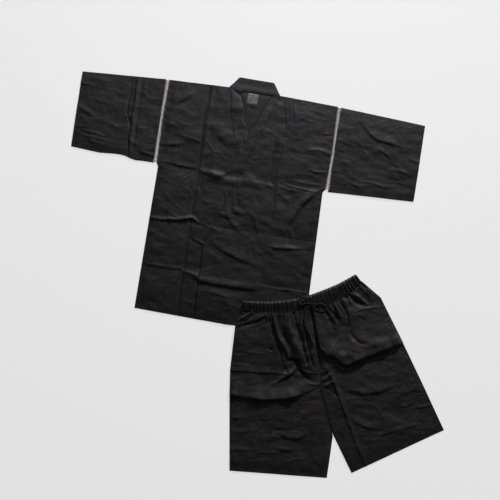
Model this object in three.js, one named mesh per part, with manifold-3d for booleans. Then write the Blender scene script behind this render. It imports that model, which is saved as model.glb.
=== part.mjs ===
// A two-piece jinbei set laid flat: an open-laced jacket with a crossed front,
// and drawstring shorts whose waist lies over the jacket's lower right hem.
// Millimetres, +Z up. +Y runs along the jacket's centre line towards the collar,
// +X to the viewer's right, and z = 0 is the surface that the set lies on.
// "left" and "right" are the viewer's.

import * as THREE from 'three';
import { mergeVertices } from 'three/addons/utils/BufferGeometryUtils.js';
import Module from 'manifold-3d';

const wasm = await Module();
wasm.setup();

// Cloth and layers
const WALL = 1.5;
const BAND_WALL = 2.2;
const GAP = 0.3;
const UNDER_BASE = WALL + GAP;
const OVER_EXTRA = BAND_WALL + GAP;

// Jacket body
const LENGTH = 780;
const NECK_HALF = 86;
const SIDE_LEFT = -284.5;
const SIDE_RIGHT = 284.5;
const SIDE_HEM = -771.6;
const SEAM_END = { u: 90.3, v: -529.5 };

// Neck line, where the collar folds down from the floor onto the back
const FOLD_HIGH = 16;
const FOLD_LOW = 2;
const NECK_SEAM = -6.6;

// Shorts: where their frame sits on the jacket's frame, and its turn
const SHORTS_AT = { u: 279, v: -668 };
const SHORTS_TURN = THREE.MathUtils.degToRad(18.8);
const SHORTS_LIFT = 7;
const LIFT_REACH = 38;
const LIFT_FADE = 118;

// Lacing
const LACE_CELLS = 20;
const THREAD = 1.6;

// Waistband and drawstring
const GATHERS = 38;
const GATHER_HEIGHT = 3.2;
const BACK_BAND_WALL = 2;
const BAND_FRONT_WALL = 2.4;
const BAND_GAP = 0.6;
const STRING_DIAMETER = 5;
const STRING_SIDES = 8;

const table = (columns, rows) => rows.map((row) => (
  Object.fromEntries(columns.map((name, index) => [name, row[index]]))));

// Outline of the body below the neck, down the left side and up the right
const BODY_LEFT = table(['u', 'v'], [
  [-285, -6], [-288.3, -150], [-284.5, -285], [-279, -294], [SIDE_LEFT, SIDE_HEM],
]);
const BODY_RIGHT = table(['u', 'v'], [
  [SIDE_RIGHT, SIDE_HEM], [273.6, -296], [281, -287], [284.2, -150], [280.3, -9],
]);
const BACK_NECK = table(['u', 'v'], [
  [NECK_HALF, -2.5], [56, NECK_SEAM], [-43, NECK_SEAM], [-NECK_HALF, 0],
]);

// Collar seam and free edge of the band on the front that lies underneath
const UNDER_SEAM = table(['u', 'v'], [
  [-NECK_HALF, 0], [-76, -20], [-63, -100], [-46, -156], [-20, -209], [90.3, -529.5],
]);
const UNDER_FREE = table(['u', 'v'], [
  [128, -518], [131, -498], [114, -458], [53, -276], [20, -186],
  [0, -129.5], [-20, -96], [-24, -70], [-43, -23],
]);
const OVER_FREE = table(['u', 'v'], [
  [-128, -518], [-131, -498], [-114, -458], [-53, -276], [-20, -209], [60, -10],
]);
const COLLAR_TOP = { leftCorner: -56, rightCorner: 60, height: 38.5, centre: 2 };

// Right edge of what the over front has to clear
const COVER_EDGE = table(['v', 'u'], [
  [-112, -8], [-186, 22], [-290, 60], [-515, 131], [-800, 131],
]);
const COVER_REACH = 45;
const COVER_FADE = 95;

// Sample lines of the drape: close together at the folds
const DRAPE_U = [-302, -255, -205, -165, -143, -120, -85, -45, -5, 35, 75, 100, 118, 136,
  175, 220, 260, 302];
const DRAPE_V = [52, FOLD_HIGH, FOLD_LOW, -40, -85, -130, -175, -220, -256, -284, -312, -345,
  -390, -430, -462, -494, -530, -575, -610, -634, -662, -705, -745, -796];

// Folded-away creases that stay as valleys between soft pillows
const PILLOW_U = [-288, -143, 118, 286];
const PILLOW_V = [0, -292, -465, -631, -775];
const PILLOW_HEIGHT = 3.5;
const EDGE_FADE = 26;

// Largest ridges of the fronts: a crest from one place to another
const BODY_RIDGES = table(['u1', 'v1', 'u2', 'v2', 'height', 'above', 'below'], [
  [-143, -284, -50, -287, 9, 34, 28],
  [-50, -287, 30, -284, 5, 34, 28],
  [30, -284, 110, -312, 7, 34, 30],
  [-279, -465, -113, -459, 9, 38, 30],
  [136, -494, 272, -494, 7, 36, 34],
  [-143, -631, -85, -634, 5, 26, 26],
  [-85, -634, 112, -631, 7, 30, 30],
  [-140, -150, -52, -270, 5, 32, 32],
  [-258, -60, -180, -40, 4, 30, 30],
]);

// Sleeves: places of the rings from the armhole to the cuff
const SLEEVE_LEFT = table(['u', 'top', 'bottom'], [
  [-297, -5, -286], [-330, -7.5, -285.6], [-357, -9, -287], [-374, -10, -284],
  [-390, -11, -278.6], [-408, -12, -276], [-430, -13.5, -276.5], [-478, -16, -280.4],
  [-525, -19, -277.5], [-574, -22, -274],
]);
const SLEEVE_RIGHT = table(['u', 'top', 'bottom'], [
  [292.5, -10, -294], [325, -12, -292.5], [355, -13.5, -291], [385, -15.5, -290],
  [420, -17.5, -288.5], [455, -19.5, -287], [490, -21.5, -286], [530, -24, -284.5],
  [576, -27, -282.5],
]);
const SLEEVE_ROWS = [0, 0.1, 0.24, 0.38, 0.52, 0.66, 0.8, 0.92, 1];
const SLEEVE_PUFF = 1.6;
const SLEEVE_RIDGES = table(['u1', 'v1', 'u2', 'v2', 'height', 'above', 'below'], [
  [-390, 0, -372, -300, 8, 20, 20],
  [-540, -222, -470, -232, 3, 26, 26],
  [362, -45, 425, -98, 5, 26, 26],
  [425, -98, 505, -112, 5, 26, 30],
  [430, -140, 535, -200, 4, 26, 26],
  [350, -260, 500, -262, 3, 22, 22],
]);

// Armholes: edges of the lacing strips between the body and the sleeves
const LACE_LEFT = table(['v', 'low', 'high'], [
  [-8, -297, -285], [-150, -297, -288.3], [-283, -297, -284.5],
]);
const LACE_RIGHT = table(['v', 'low', 'high'], [
  [-12, 280.3, 292.5], [-150, 284.2, 292.5], [-286, 281, 292.5],
]);

// Shorts frame: p to the right and q up along the shorts' own centre line
const OUTER_LEFT = table(['q', 'p'], [
  [12, -214], [-26, -246], [-173, -290], [-248, -305], [-503, -350],
]);
const OUTER_RIGHT = table(['q', 'p'], [
  [38, 190], [27, 202], [-25, 244], [-180, 289], [-340, 333], [-494, 374],
]);
const CENTRE_LEFT = table(['q', 'p'], [
  [-24, 4], [-60, 9], [-140, 7.5], [-220, 3.5], [-300, -4], [-448, 8], [-583, -36],
]);
const CENTRE_RIGHT = table(['q', 'p'], [
  [-24, 4], [-60, 9], [-140, 7.5], [-220, 3.5], [-300, -4], [-448, 9.5], [-581, 47],
]);
const LEG_ROWS = table(['left', 'inner', 'right'], [
  [12, -24, 38], [-12, -50, 10], [-45, -80, -30], [-85, -115, -70], [-125, -150, -110],
  [-160, -180, -145], [-184, -203, -178], [-208, -224, -200], [-232, -246, -226],
  [-256, -272, -250], [-280, -301, -280], [-325, -345, -330], [-378, -400, -385],
  [-428, -448, -430], [-466, -515, -463], [-503, -583, -494],
]);
const INSEAM_RIGHT_SHORT = 2;
const SAG_FADE = 160;

// Edges of the waistband, followed from the left end to the right end
const BAND_LOW = table(['p', 'q'], [
  [-214, 12], [-149, -6], [-80, -20], [4, -24], [66, -20], [130, 0], [190, 38],
]);
const BAND_TOP = table(['p', 'q'], [
  [-208, 46], [-145, 31], [-78, 23], [4, 24.5], [64, 35], [118, 47], [175, 66],
]);

// Pleats below the waistband: place between outseam (0) and centre (1)
const PLEATS_LEFT = table(['at', 'half', 'height', 'length'], [
  [0.19, 0.06, 6, 90], [0.34, 0.075, 7, 120], [0.51, 0.075, 9, 220],
  [0.65, 0.07, 8, 200], [0.81, 0.07, 8, 250], [0.93, 0.06, 5, 230],
]);
const PLEATS_RIGHT = table(['at', 'half', 'height', 'length'], [
  [0.13, 0.07, 6, 100], [0.32, 0.09, 8, 140], [0.52, 0.09, 9, 170],
  [0.7, 0.09, 8, 130], [0.91, 0.09, 8, 210],
]);
const COLUMNS_LEFT = [0, 0.07, 0.13, 0.19, 0.265, 0.34, 0.425, 0.51, 0.58, 0.65, 0.73,
  0.81, 0.87, 0.93, 1];
const COLUMNS_RIGHT = [0, 0.065, 0.13, 0.225, 0.32, 0.42, 0.52, 0.61, 0.7, 0.805, 0.91, 1];
const LEG_PUFF = 2.2;
const LEG_RIDGES = table(['u1', 'v1', 'u2', 'v2', 'height', 'above', 'below'], [
  [30, -184, 88, -214, 9, 30, 24],
  [88, -214, 295, -183, 14, 44, 26],
  [-300, -184, -130, -203, 5, 22, 20],
  [-305, -256, -175, -280, 9, 34, 28],
  [-175, -280, -30, -275, 8, 34, 28],
  [36, -247, 104, -570, 4, 24, 24],
  [-46, -309, -76, -540, 2, 24, 24],
  [-140, -160, -100, -218, 5, 24, 24],
]);

// Drawstring: routes on the waistband, from the knot outwards
const KNOT = { p: 4, q: 0, width: 15, depth: 12, height: 7, z: 15.5 };
const LOOP_RIGHT = table(['p', 'q', 'z'], [
  [12.2, -1.4, 18.6], [20, -6, 18.4], [32, -8.5, 18.3], [44, -9.5, 17.6], [54, -15, 17.2],
  [57.5, -25, 17.7], [51, -34, 17], [40, -34.5, 17.3], [28, -28, 18.6], [19, -17, 18.4],
  [11.4, -7.2, 18.6],
]);
const LOOP_LEFT = table(['p', 'q', 'z'], [
  [3, 7.2, 18.5], [-1, 15, 18.1], [-8, 21.5, 16.4], [-17, 23, 16], [-25, 18, 16.8],
  [-28, 9.5, 18.2], [-24, 2.5, 17.9], [-15, -0.5, 18.2], [-4.6, 0.6, 18.5],
]);
const TAIL_LEFT = table(['p', 'q', 'z'], [
  [-2.6, -5.8, 18.2], [-8, -13, 17.5], [-15, -22, 16.8], [-23, -34, 16.4], [-30, -46, 16.9],
  [-34, -58, 18.2], [-33, -70, 18.2], [-30.5, -82, 17.6], [-29, -94, 16.8], [-28.5, -106, 16.5],
  [-28, -118, 16.2],
]);
const TAIL_RIGHT = table(['p', 'q', 'z'], [
  [4, -7.2, 18.3], [-1, -15, 18], [-6, -25, 16.9], [-13, -36, 17.3], [-19, -48, 17.2],
  [-20, -62, 17.5], [-17, -76, 18.5], [-13.5, -90, 19.2], [-11, -104, 19.1],
  [-8.5, -119, 18.7], [-6, -134, 17.3],
]);

const { clamp, lerp, smoothstep } = THREE.MathUtils;

// Value of one column of a table at a place along another, straight between rows
function along(rows, key, place, value) {
  const rising = rows[1][key] > rows[0][key];
  let index = 1;
  while (index < rows.length - 1 && (rising ? place > rows[index][key] : place < rows[index][key])) {
    index += 1;
  }
  const [a, b] = [rows[index - 1], rows[index]];
  const share = clamp((place - a[key]) / (b[key] - a[key]), 0, 1);
  return lerp(a[value], b[value], share);
}

// Height of one ridge at a place: a crest that falls away on both sides and at its ends
function ridgeHeight(ridge, u, v) {
  const du = ridge.u2 - ridge.u1;
  const dv = ridge.v2 - ridge.v1;
  const length = Math.hypot(du, dv);
  const run = ((u - ridge.u1) * du + (v - ridge.v1) * dv) / length;
  const off = ((u - ridge.u1) * -dv + (v - ridge.v1) * du) / length;
  const width = off * du > 0 ? ridge.above : ridge.below;
  const beyond = Math.max(-run, run - length, 0);
  const across = Math.min(Math.hypot(off, beyond) / width, 1);
  return ridge.height * (1 - smoothstep(across, 0, 1));
}

const ridgesHeight = (ridges, u, v) => (
  ridges.reduce((most, ridge) => Math.max(most, ridgeHeight(ridge, u, v)), 0));

// Soft pillow between neighbouring crease lines
function pillow(lines, place) {
  const sorted = [...lines].sort((a, b) => a - b);
  const index = sorted.findIndex((line) => place < line);
  if (index < 1) {
    return 0;
  }
  const share = (place - sorted[index - 1]) / (sorted[index] - sorted[index - 1]);
  return Math.sin(Math.PI * share) ** 0.6;
}

// How far the jacket's fronts rise above their layer
function bodyRise(u, v) {
  const toSide = Math.min(u - SIDE_LEFT, SIDE_RIGHT - 3 - u);
  const side = smoothstep(toSide, 2, EDGE_FADE);
  const top = smoothstep(-v, 8, 60);
  const hem = lerp(1, 0.25, smoothstep(-v, 700, 760));
  const flat = 1 - smoothstep(u, 20, 90) * smoothstep(-v, 610, 660);
  const soft = PILLOW_HEIGHT * pillow(PILLOW_U, u) * pillow(PILLOW_V, v);
  return (soft + ridgesHeight(BODY_RIDGES, u, v)) * side * top * hem * flat;
}

// How far the over front is raised to clear the band and front beneath it
function overRise(u, v) {
  const first = COVER_EDGE[0];
  const beyond = v < first.v
    ? Math.max(u - along(COVER_EDGE, 'v', v, 'u'), 0)
    : Math.hypot(Math.max(u - first.u, 0), v - first.v);
  return OVER_EXTRA * (1 - smoothstep(beyond, COVER_REACH, COVER_FADE));
}

const neckFold = (v) => UNDER_BASE * (1 - clamp((v - FOLD_LOW) / (FOLD_HIGH - FOLD_LOW), 0, 1));
const underLayer = (u, v) => neckFold(v) + bodyRise(u, v);
const overLayer = (u, v) => underLayer(u, v) + overRise(u, v);

// Closed solid from triangle corners
function solidGeometry(corners) {
  const geometry = new THREE.BufferGeometry();
  geometry.setAttribute('position', new THREE.Float32BufferAttribute(corners, 3));
  return mergeVertices(geometry, 1e-4);
}

// Closed wall on a grid of points, each with a lower and an upper height
function gridWall(points) {
  const corners = [];
  const at = (i, j, side) => {
    const point = points[i][j];
    return [point.x, point.y, side === 'low' ? point.low : point.high];
  };
  const face = (a, b, c, d) => corners.push(...a, ...b, ...c, ...a, ...c, ...d);
  const lastI = points.length - 1;
  const lastJ = points[0].length - 1;
  for (let i = 0; i < lastI; i += 1) {
    for (let j = 0; j < lastJ; j += 1) {
      face(at(i, j, 'high'), at(i + 1, j, 'high'), at(i + 1, j + 1, 'high'), at(i, j + 1, 'high'));
      face(at(i, j, 'low'), at(i, j + 1, 'low'), at(i + 1, j + 1, 'low'), at(i + 1, j, 'low'));
    }
  }
  const wall = (a, b) => face(at(...a, 'low'), at(...b, 'low'), at(...b, 'high'), at(...a, 'high'));
  for (let i = 0; i < lastI; i += 1) {
    wall([i, 0], [i + 1, 0]);
    wall([i + 1, lastJ], [i, lastJ]);
  }
  for (let j = 0; j < lastJ; j += 1) {
    wall([lastI, j], [lastI, j + 1]);
    wall([0, j + 1], [0, j]);
  }
  return solidGeometry(corners);
}

// Closed ring of loops: loops[i] is a closed row of points, end to end a closed body
function loftCapped(loops) {
  const corners = [];
  const count = loops[0].length;
  for (let i = 0; i < loops.length - 1; i += 1) {
    for (let k = 0; k < count; k += 1) {
      const next = (k + 1) % count;
      const [a, b, c, d] = [loops[i][k], loops[i][next], loops[i + 1][next], loops[i + 1][k]];
      corners.push(...a, ...b, ...c, ...a, ...c, ...d);
    }
  }
  const last = loops[loops.length - 1];
  for (let k = 1; k < count - 1; k += 1) {
    corners.push(...loops[0][0], ...loops[0][k + 1], ...loops[0][k]);
    corners.push(...last[0], ...last[k], ...last[k + 1]);
  }
  return solidGeometry(corners);
}

// Open-ended tube wall between outer loops and inner loops
function loftTube(outer, inner) {
  const corners = [];
  const count = outer[0].length;
  const face = (a, b, c, d) => corners.push(...a, ...b, ...c, ...a, ...c, ...d);
  for (let k = 0; k < count; k += 1) {
    const next = (k + 1) % count;
    for (let i = 0; i < outer.length - 1; i += 1) {
      face(outer[i][k], outer[i][next], outer[i + 1][next], outer[i + 1][k]);
      face(inner[i][k], inner[i + 1][k], inner[i + 1][next], inner[i][next]);
    }
    const last = outer.length - 1;
    face(outer[0][k], inner[0][k], inner[0][next], outer[0][next]);
    face(outer[last][k], outer[last][next], inner[last][next], inner[last][k]);
  }
  return solidGeometry(corners);
}

// Turns a geometry whose faces point in round, so that they point out
function outward(geometry) {
  const place = geometry.getAttribute('position');
  const index = geometry.getIndex();
  const [a, b, c] = [new THREE.Vector3(), new THREE.Vector3(), new THREE.Vector3()];
  let volume = 0;
  for (let k = 0; k < index.count; k += 3) {
    a.fromBufferAttribute(place, index.getX(k));
    b.fromBufferAttribute(place, index.getX(k + 1));
    c.fromBufferAttribute(place, index.getX(k + 2));
    volume += a.dot(b.cross(c));
  }
  if (volume < 0) {
    for (let k = 0; k < index.count; k += 3) {
      const kept = index.getX(k);
      index.setX(k, index.getX(k + 1));
      index.setX(k + 1, kept);
    }
  }
  return geometry;
}

function toManifold(geometry) {
  geometry.deleteAttribute('normal');
  geometry.deleteAttribute('uv');
  const merged = mergeVertices(geometry, 1e-4);
  return new wasm.Manifold(new wasm.Mesh({
    numProp: 3,
    vertProperties: new Float32Array(merged.getAttribute('position').array),
    triVerts: new Uint32Array(merged.getIndex().array),
  }));
}

function fromManifold(manifold) {
  const mesh = manifold.getMesh();
  const geometry = new THREE.BufferGeometry();
  geometry.setAttribute('position', new THREE.Float32BufferAttribute(mesh.vertProperties, 3));
  geometry.setIndex(new THREE.Uint32BufferAttribute(mesh.triVerts, 1));
  return geometry;
}

// Upright prism of an outline, from the floor to well above the cloth
function prism(outline) {
  const shape = new THREE.Shape(outline.map(({ u, v }) => new THREE.Vector2(u, v)));
  const geometry = new THREE.ExtrudeGeometry(shape, { depth: 80, bevelEnabled: false });
  return toManifold(geometry.translate(0, 0, -20));
}

// Panel of the jacket: the drape between a layer's underside and its wall, cut to an outline
function drapedPanel(outline, layer, wall) {
  const us = outline.map(({ u }) => u);
  const vs = outline.map(({ v }) => v);
  const firstU = DRAPE_U.findLastIndex((u) => u < Math.min(...us));
  const lastU = DRAPE_U.findIndex((u) => u > Math.max(...us));
  const firstV = DRAPE_V.findLastIndex((v) => v > Math.max(...vs));
  const lastV = DRAPE_V.findIndex((v) => v < Math.min(...vs));
  const points = DRAPE_U.slice(firstU, lastU + 1).map((u) => (
    DRAPE_V.slice(firstV, lastV + 1).reverse().map((v) => {
      const low = layer(u, v);
      return { x: u, y: v, low, high: low + wall };
    })));
  return fromManifold(toManifold(gridWall(points)).intersect(prism(outline)));
}

function flatPanel(outline, low, wall) {
  const shape = new THREE.Shape(outline.map(({ u, v }) => new THREE.Vector2(u, v)));
  const geometry = new THREE.ExtrudeGeometry(shape, { depth: wall, bevelEnabled: false });
  return geometry.translate(0, 0, low);
}

// Sleeve: a tube pressed flat, its back on the surface and its front draped
function sleeve(rings) {
  const outer = [];
  const inner = [];
  rings.forEach(({ u, top, bottom }) => {
    const low = (share, inset) => lerp(top - inset, bottom + inset, share);
    const front = (inset, extra) => SLEEVE_ROWS.map((share) => {
      const v = low(share, inset);
      const edge = smoothstep(Math.min(share, 1 - share), 0, 0.12);
      const rise = (SLEEVE_PUFF + ridgesHeight(SLEEVE_RIDGES, u, low(share, 0))) * edge;
      return [u, v, UNDER_BASE + rise + extra];
    });
    outer.push([...front(0, WALL), [u, bottom, 0], [u, top, 0]]);
    inner.push([...front(WALL, 0), [u, bottom + WALL, WALL], [u, top - WALL, WALL]]);
  });
  return outward(loftTube(outer, inner));
}

// Lacing strip: two threads that zigzag across the armhole and cross each other
function lacing(edges, low) {
  const start = edges[0].v;
  const end = edges[edges.length - 1].v;
  const pitch = (start - end) / LACE_CELLS;
  const waist = THREAD * 0.75;
  const place = (k, side, inset) => {
    const v = start - pitch * k;
    const left = along(edges, 'v', v, 'low') + GAP + inset;
    const right = along(edges, 'v', v, 'high') - GAP - inset;
    const middle = (left + right) / 2;
    return new THREE.Vector2({ left, right, middle }[side], v);
  };
  const outline = [];
  for (let k = 0; k <= LACE_CELLS; k += 1) {
    outline.push(place(k, 'middle', 0).add(new THREE.Vector2(waist, 0)));
    if (k < LACE_CELLS) {
      outline.push(place(k + 0.5, 'right', 0));
    }
  }
  for (let k = LACE_CELLS; k >= 0; k -= 1) {
    outline.push(place(k, 'middle', 0).add(new THREE.Vector2(-waist, 0)));
    if (k > 0) {
      outline.push(place(k - 0.5, 'left', 0));
    }
  }
  const shape = new THREE.Shape(outline);
  for (let k = 0; k < LACE_CELLS; k += 1) {
    const top = place(k, 'middle', 0).add(new THREE.Vector2(0, -THREAD));
    const bottom = place(k + 1, 'middle', 0).add(new THREE.Vector2(0, THREAD));
    const left = place(k + 0.5, 'left', THREAD);
    const right = place(k + 0.5, 'right', THREAD);
    shape.holes.push(new THREE.Path([top, left, bottom, right]));
  }
  const geometry = new THREE.ExtrudeGeometry(shape, { depth: WALL, bevelEnabled: false });
  return geometry.translate(0, 0, low);
}

// How far a point of the shorts is raised to lie over the jacket's corner
function liftAt(p, q) {
  const cos = Math.cos(SHORTS_TURN);
  const sin = Math.sin(SHORTS_TURN);
  const u = SHORTS_AT.u + p * cos - q * sin;
  const v = SHORTS_AT.v + p * sin + q * cos;
  const beyond = Math.hypot(Math.max(u - SIDE_RIGHT, 0), Math.max(-LENGTH - v, 0));
  return SHORTS_LIFT * (1 - clamp((beyond - LIFT_REACH) / (LIFT_FADE - LIFT_REACH), 0, 1));
}

const curveOf = (rows) => (
  new THREE.CatmullRomCurve3(rows.map(({ p, q }) => new THREE.Vector3(p, q, 0))));
const bandLow = curveOf(BAND_LOW);
const bandTop = curveOf(BAND_TOP);

// Plan places of one leg's grid: rows from the waist to the hem, columns from the outseam in
function legGrid(side) {
  const left = side === 'left';
  const columns = left ? COLUMNS_LEFT : COLUMNS_RIGHT;
  const outerTable = left ? OUTER_LEFT : OUTER_RIGHT;
  const innerTable = left ? CENTRE_LEFT : CENTRE_RIGHT;
  const shift = left ? -GAP / 2 : GAP / 2;
  return LEG_ROWS.map((row, index) => {
    const last = index === LEG_ROWS.length - 1;
    const innerQ = row.inner + (last && !left ? INSEAM_RIGHT_SHORT : 0);
    const outer = new THREE.Vector2(along(outerTable, 'q', row[side], 'p'), row[side]);
    const inner = new THREE.Vector2(along(innerTable, 'q', innerQ, 'p') + shift, innerQ);
    const depth = LEG_ROWS[0][side] - row[side];
    const fade = 1 - smoothstep(depth, 0, SAG_FADE);
    return columns.map((share) => {
      const place = outer.clone().lerp(inner, share);
      const edge = bandLow.getPoint(left ? share / 2 : 1 - share / 2);
      const chord = bandLow.getPoint(left ? 0 : 1).lerp(bandLow.getPoint(0.5), share);
      place.x += (edge.x - chord.x) * fade;
      place.y += (edge.y - chord.y) * fade;
      return { share, depth, p: place.x, q: place.y - BAND_GAP };
    });
  });
}

// How far the front of a leg rises above its layer
function legRise(side, share, depth, p, q) {
  const pleats = side === 'left' ? PLEATS_LEFT : PLEATS_RIGHT;
  const folds = pleats.reduce((sum, pleat) => {
    const across = Math.min(Math.abs(share - pleat.at) / pleat.half, 1);
    const start = lerp(0.45, 1, smoothstep(depth, 0, 50));
    const fade = 1 - smoothstep(depth, pleat.length * 0.35, pleat.length);
    return sum + pleat.height * (1 - smoothstep(across, 0, 1)) * start * fade;
  }, 0);
  const seam = smoothstep(share, 0, 0.1);
  const centre = lerp(0.4, 1, 1 - smoothstep(share, 0.92, 1));
  const soft = LEG_PUFF * Math.sin(Math.PI * share) ** 0.5;
  const ridges = ridgesHeight(LEG_RIDGES, p, q);
  return Math.max(soft + folds, ridges + soft * 0.5) * lerp(0.15, 1, seam) * centre;
}

function legPanel(side, layer) {
  const rows = legGrid(side);
  const points = rows.map((row) => row.map(({ share, depth, p, q }) => {
    const lift = liftAt(p, q);
    const rise = layer === 'front' ? WALL + GAP + legRise(side, share, depth, p, q) : 0;
    return { x: p, y: q, low: lift + rise, high: lift + rise + WALL };
  }));
  return outward(gridWall(points));
}

// Waistband front: a gathered casing, plain inside and ridged outside
function bandFront() {
  const stations = GATHERS * 2;
  const loops = [];
  for (let k = 0; k <= stations; k += 1) {
    const low = bandLow.getPoint(k / stations);
    const top = bandTop.getPoint(k / stations);
    const crest = k % 2 === 1 ? GATHER_HEIGHT : 0;
    const at = (share, thick) => {
      const place = low.clone().lerp(top, share);
      const base = liftAt(place.x, place.y) + BACK_BAND_WALL + BAND_GAP;
      return [place.x, place.y, base + thick];
    };
    const across = [[0, 0], [1, 0], [1, BAND_FRONT_WALL - 1], [0.78, BAND_FRONT_WALL + crest],
      [0.22, BAND_FRONT_WALL + crest], [0, BAND_FRONT_WALL - 0.6]];
    loops.push(across.map(([share, thick]) => at(share, thick)));
  }
  return outward(loftCapped(loops));
}

function bandBack() {
  const loops = [];
  for (let k = 0; k <= GATHERS; k += 1) {
    const low = bandLow.getPoint(k / GATHERS);
    const top = bandTop.getPoint(k / GATHERS);
    const at = (place, thick) => [place.x, place.y, liftAt(place.x, place.y) + thick];
    loops.push([at(low, 0), at(top, 0), at(top, BACK_BAND_WALL), at(low, BACK_BAND_WALL)]);
  }
  return outward(loftCapped(loops));
}

// Knot: a squat rounded block where the string is tied
function knot() {
  const geometry = new THREE.SphereGeometry(0.5, 12, 8);
  geometry.scale(KNOT.width, KNOT.depth, KNOT.height);
  return geometry.translate(KNOT.p, KNOT.q, KNOT.z + KNOT.height / 2);
}

function stringTube(route) {
  const curve = new THREE.CatmullRomCurve3(route.map(({ p, q, z }) => new THREE.Vector3(p, q, z)));
  const radius = STRING_DIAMETER / 2;
  const section = new THREE.Shape();
  for (let k = 0; k < STRING_SIDES; k += 1) {
    const angle = (k / STRING_SIDES) * Math.PI * 2;
    const place = [radius * Math.cos(angle), radius * Math.sin(angle)];
    if (k === 0) {
      section.moveTo(...place);
    } else {
      section.lineTo(...place);
    }
  }
  section.closePath();
  const steps = Math.round(curve.getLength() / (STRING_DIAMETER * 2));
  return new THREE.ExtrudeGeometry(section, { steps, extrudePath: curve, bevelEnabled: false });
}

const cloth = (shade) => (
  new THREE.MeshStandardMaterial({ color: shade, roughness: 0.92, metalness: 0 }));
const CLOTH = cloth(0x24252a);
const CLOTH_WARM = cloth(0x222123);
const LACE = cloth(0xa6a093);
const LABEL = cloth(0xb9bab8);
const TAB = cloth(0x17171a);
const STRING = cloth(0x1c1c20);

function add(group, name, geometry, material) {
  const mesh = new THREE.Mesh(geometry, material);
  mesh.name = name;
  group.add(mesh);
  return mesh;
}

const jacket = new THREE.Group();
const point = (u, v) => ({ u, v });
const shifted = (rows, du) => rows.map(({ u, v }) => point(u + du, v));
const mirrored = (rows) => rows.map(({ u, v }) => point(-u, v));

const hemMiddle = point(20, -LENGTH);
const backOutline = [...BODY_LEFT, hemMiddle, ...BODY_RIGHT, ...BACK_NECK];
add(jacket, 'back', flatPanel(backOutline, 0, WALL), CLOTH);

const underOutline = [
  ...BODY_LEFT, point(-60, -778), point(SEAM_END.u, -778.5),
  ...shifted(UNDER_SEAM, -GAP).reverse(),
];
add(jacket, 'front_under', drapedPanel(underOutline, underLayer, WALL), CLOTH);

const overSeam = [point(NECK_HALF, -2.5), point(-SEAM_END.u, SEAM_END.v)];
const overOutline = [
  point(-85.5, -773.5), hemMiddle, ...BODY_RIGHT,
  ...shifted(overSeam, GAP),
];
add(jacket, 'front_over', drapedPanel(overOutline, overLayer, WALL), CLOTH);

const collarUnder = [
  point(COLLAR_TOP.leftCorner, COLLAR_TOP.height), ...UNDER_SEAM, ...UNDER_FREE,
  point(-43, NECK_SEAM + GAP), point(COLLAR_TOP.centre - GAP, NECK_SEAM + GAP),
  point(COLLAR_TOP.centre - GAP, COLLAR_TOP.height - 1),
];
add(jacket, 'collar_under', drapedPanel(collarUnder, underLayer, BAND_WALL), CLOTH);

const collarOver = [
  point(COLLAR_TOP.centre, COLLAR_TOP.height - 1), point(COLLAR_TOP.centre, NECK_SEAM + GAP),
  point(56, NECK_SEAM + GAP), ...[...OVER_FREE].reverse(), ...mirrored([SEAM_END]),
  point(NECK_HALF, -2.5), point(COLLAR_TOP.rightCorner, COLLAR_TOP.height - 1.5),
];
add(jacket, 'collar_over', drapedPanel(collarOver, overLayer, BAND_WALL), CLOTH);

add(jacket, 'sleeve_left', sleeve(SLEEVE_LEFT), CLOTH);
add(jacket, 'sleeve_right', sleeve(SLEEVE_RIGHT), CLOTH);
add(jacket, 'lacing_left_back', lacing(LACE_LEFT, 0), LACE);
add(jacket, 'lacing_left_front', lacing(LACE_LEFT, UNDER_BASE), LACE);
add(jacket, 'lacing_right_back', lacing(LACE_RIGHT, 0), LACE);
add(jacket, 'lacing_right_front', lacing(LACE_RIGHT, UNDER_BASE), LACE);

// Bare neck label and the small tab below it, on the inside of the back
const LABEL_BOX = { u: -2.5, v: -27, width: 36, height: 36, wall: 0.9 };
const TAB_BOX = { u: 2, v: -50.5, width: 20, height: 9, wall: 0.9 };
[['neck_label', LABEL_BOX, LABEL], ['size_tab', TAB_BOX, TAB]].forEach(([name, box, finish]) => {
  const geometry = new THREE.BoxGeometry(box.width, box.height, box.wall);
  const mesh = add(jacket, name, geometry, finish);
  mesh.position.set(box.u, box.v, WALL + GAP + box.wall / 2);
});

const shorts = new THREE.Group();
shorts.position.set(SHORTS_AT.u, SHORTS_AT.v, 0);
shorts.rotation.z = SHORTS_TURN;
['left', 'right'].forEach((side) => {
  add(shorts, `leg_back_${side}`, legPanel(side, 'back'), CLOTH_WARM);
  add(shorts, `leg_front_${side}`, legPanel(side, 'front'), CLOTH_WARM);
});
add(shorts, 'waistband_back', bandBack(), CLOTH_WARM);
add(shorts, 'waistband_front', bandFront(), CLOTH_WARM);
add(shorts, 'drawstring_knot', knot(), STRING);
add(shorts, 'drawstring_loop_left', stringTube(LOOP_LEFT), STRING);
add(shorts, 'drawstring_loop_right', stringTube(LOOP_RIGHT), STRING);
add(shorts, 'drawstring_tail_left', stringTube(TAIL_LEFT), STRING);
add(shorts, 'drawstring_tail_right', stringTube(TAIL_RIGHT), STRING);

// The set, with its origin at the middle of the surface under its box
const set = new THREE.Group();
set.add(jacket, shorts);
set.updateMatrixWorld(true);
const box = new THREE.Box3().setFromObject(set, true);
const middle = box.getCenter(new THREE.Vector3());
set.position.set(-middle.x, -middle.y, -box.min.z);

export default set;
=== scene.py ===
"""Black jinbei set laid flat: its cloth, lacing, label, drawstring and stitching, with the stage.

Lengths in the tables are millimetres. On the jacket, u runs to the viewer's right and v up the
centre line, from the shoulders. On the shorts, p and q do the same from the middle of the waist.
Left and right are the viewer's."""

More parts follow.
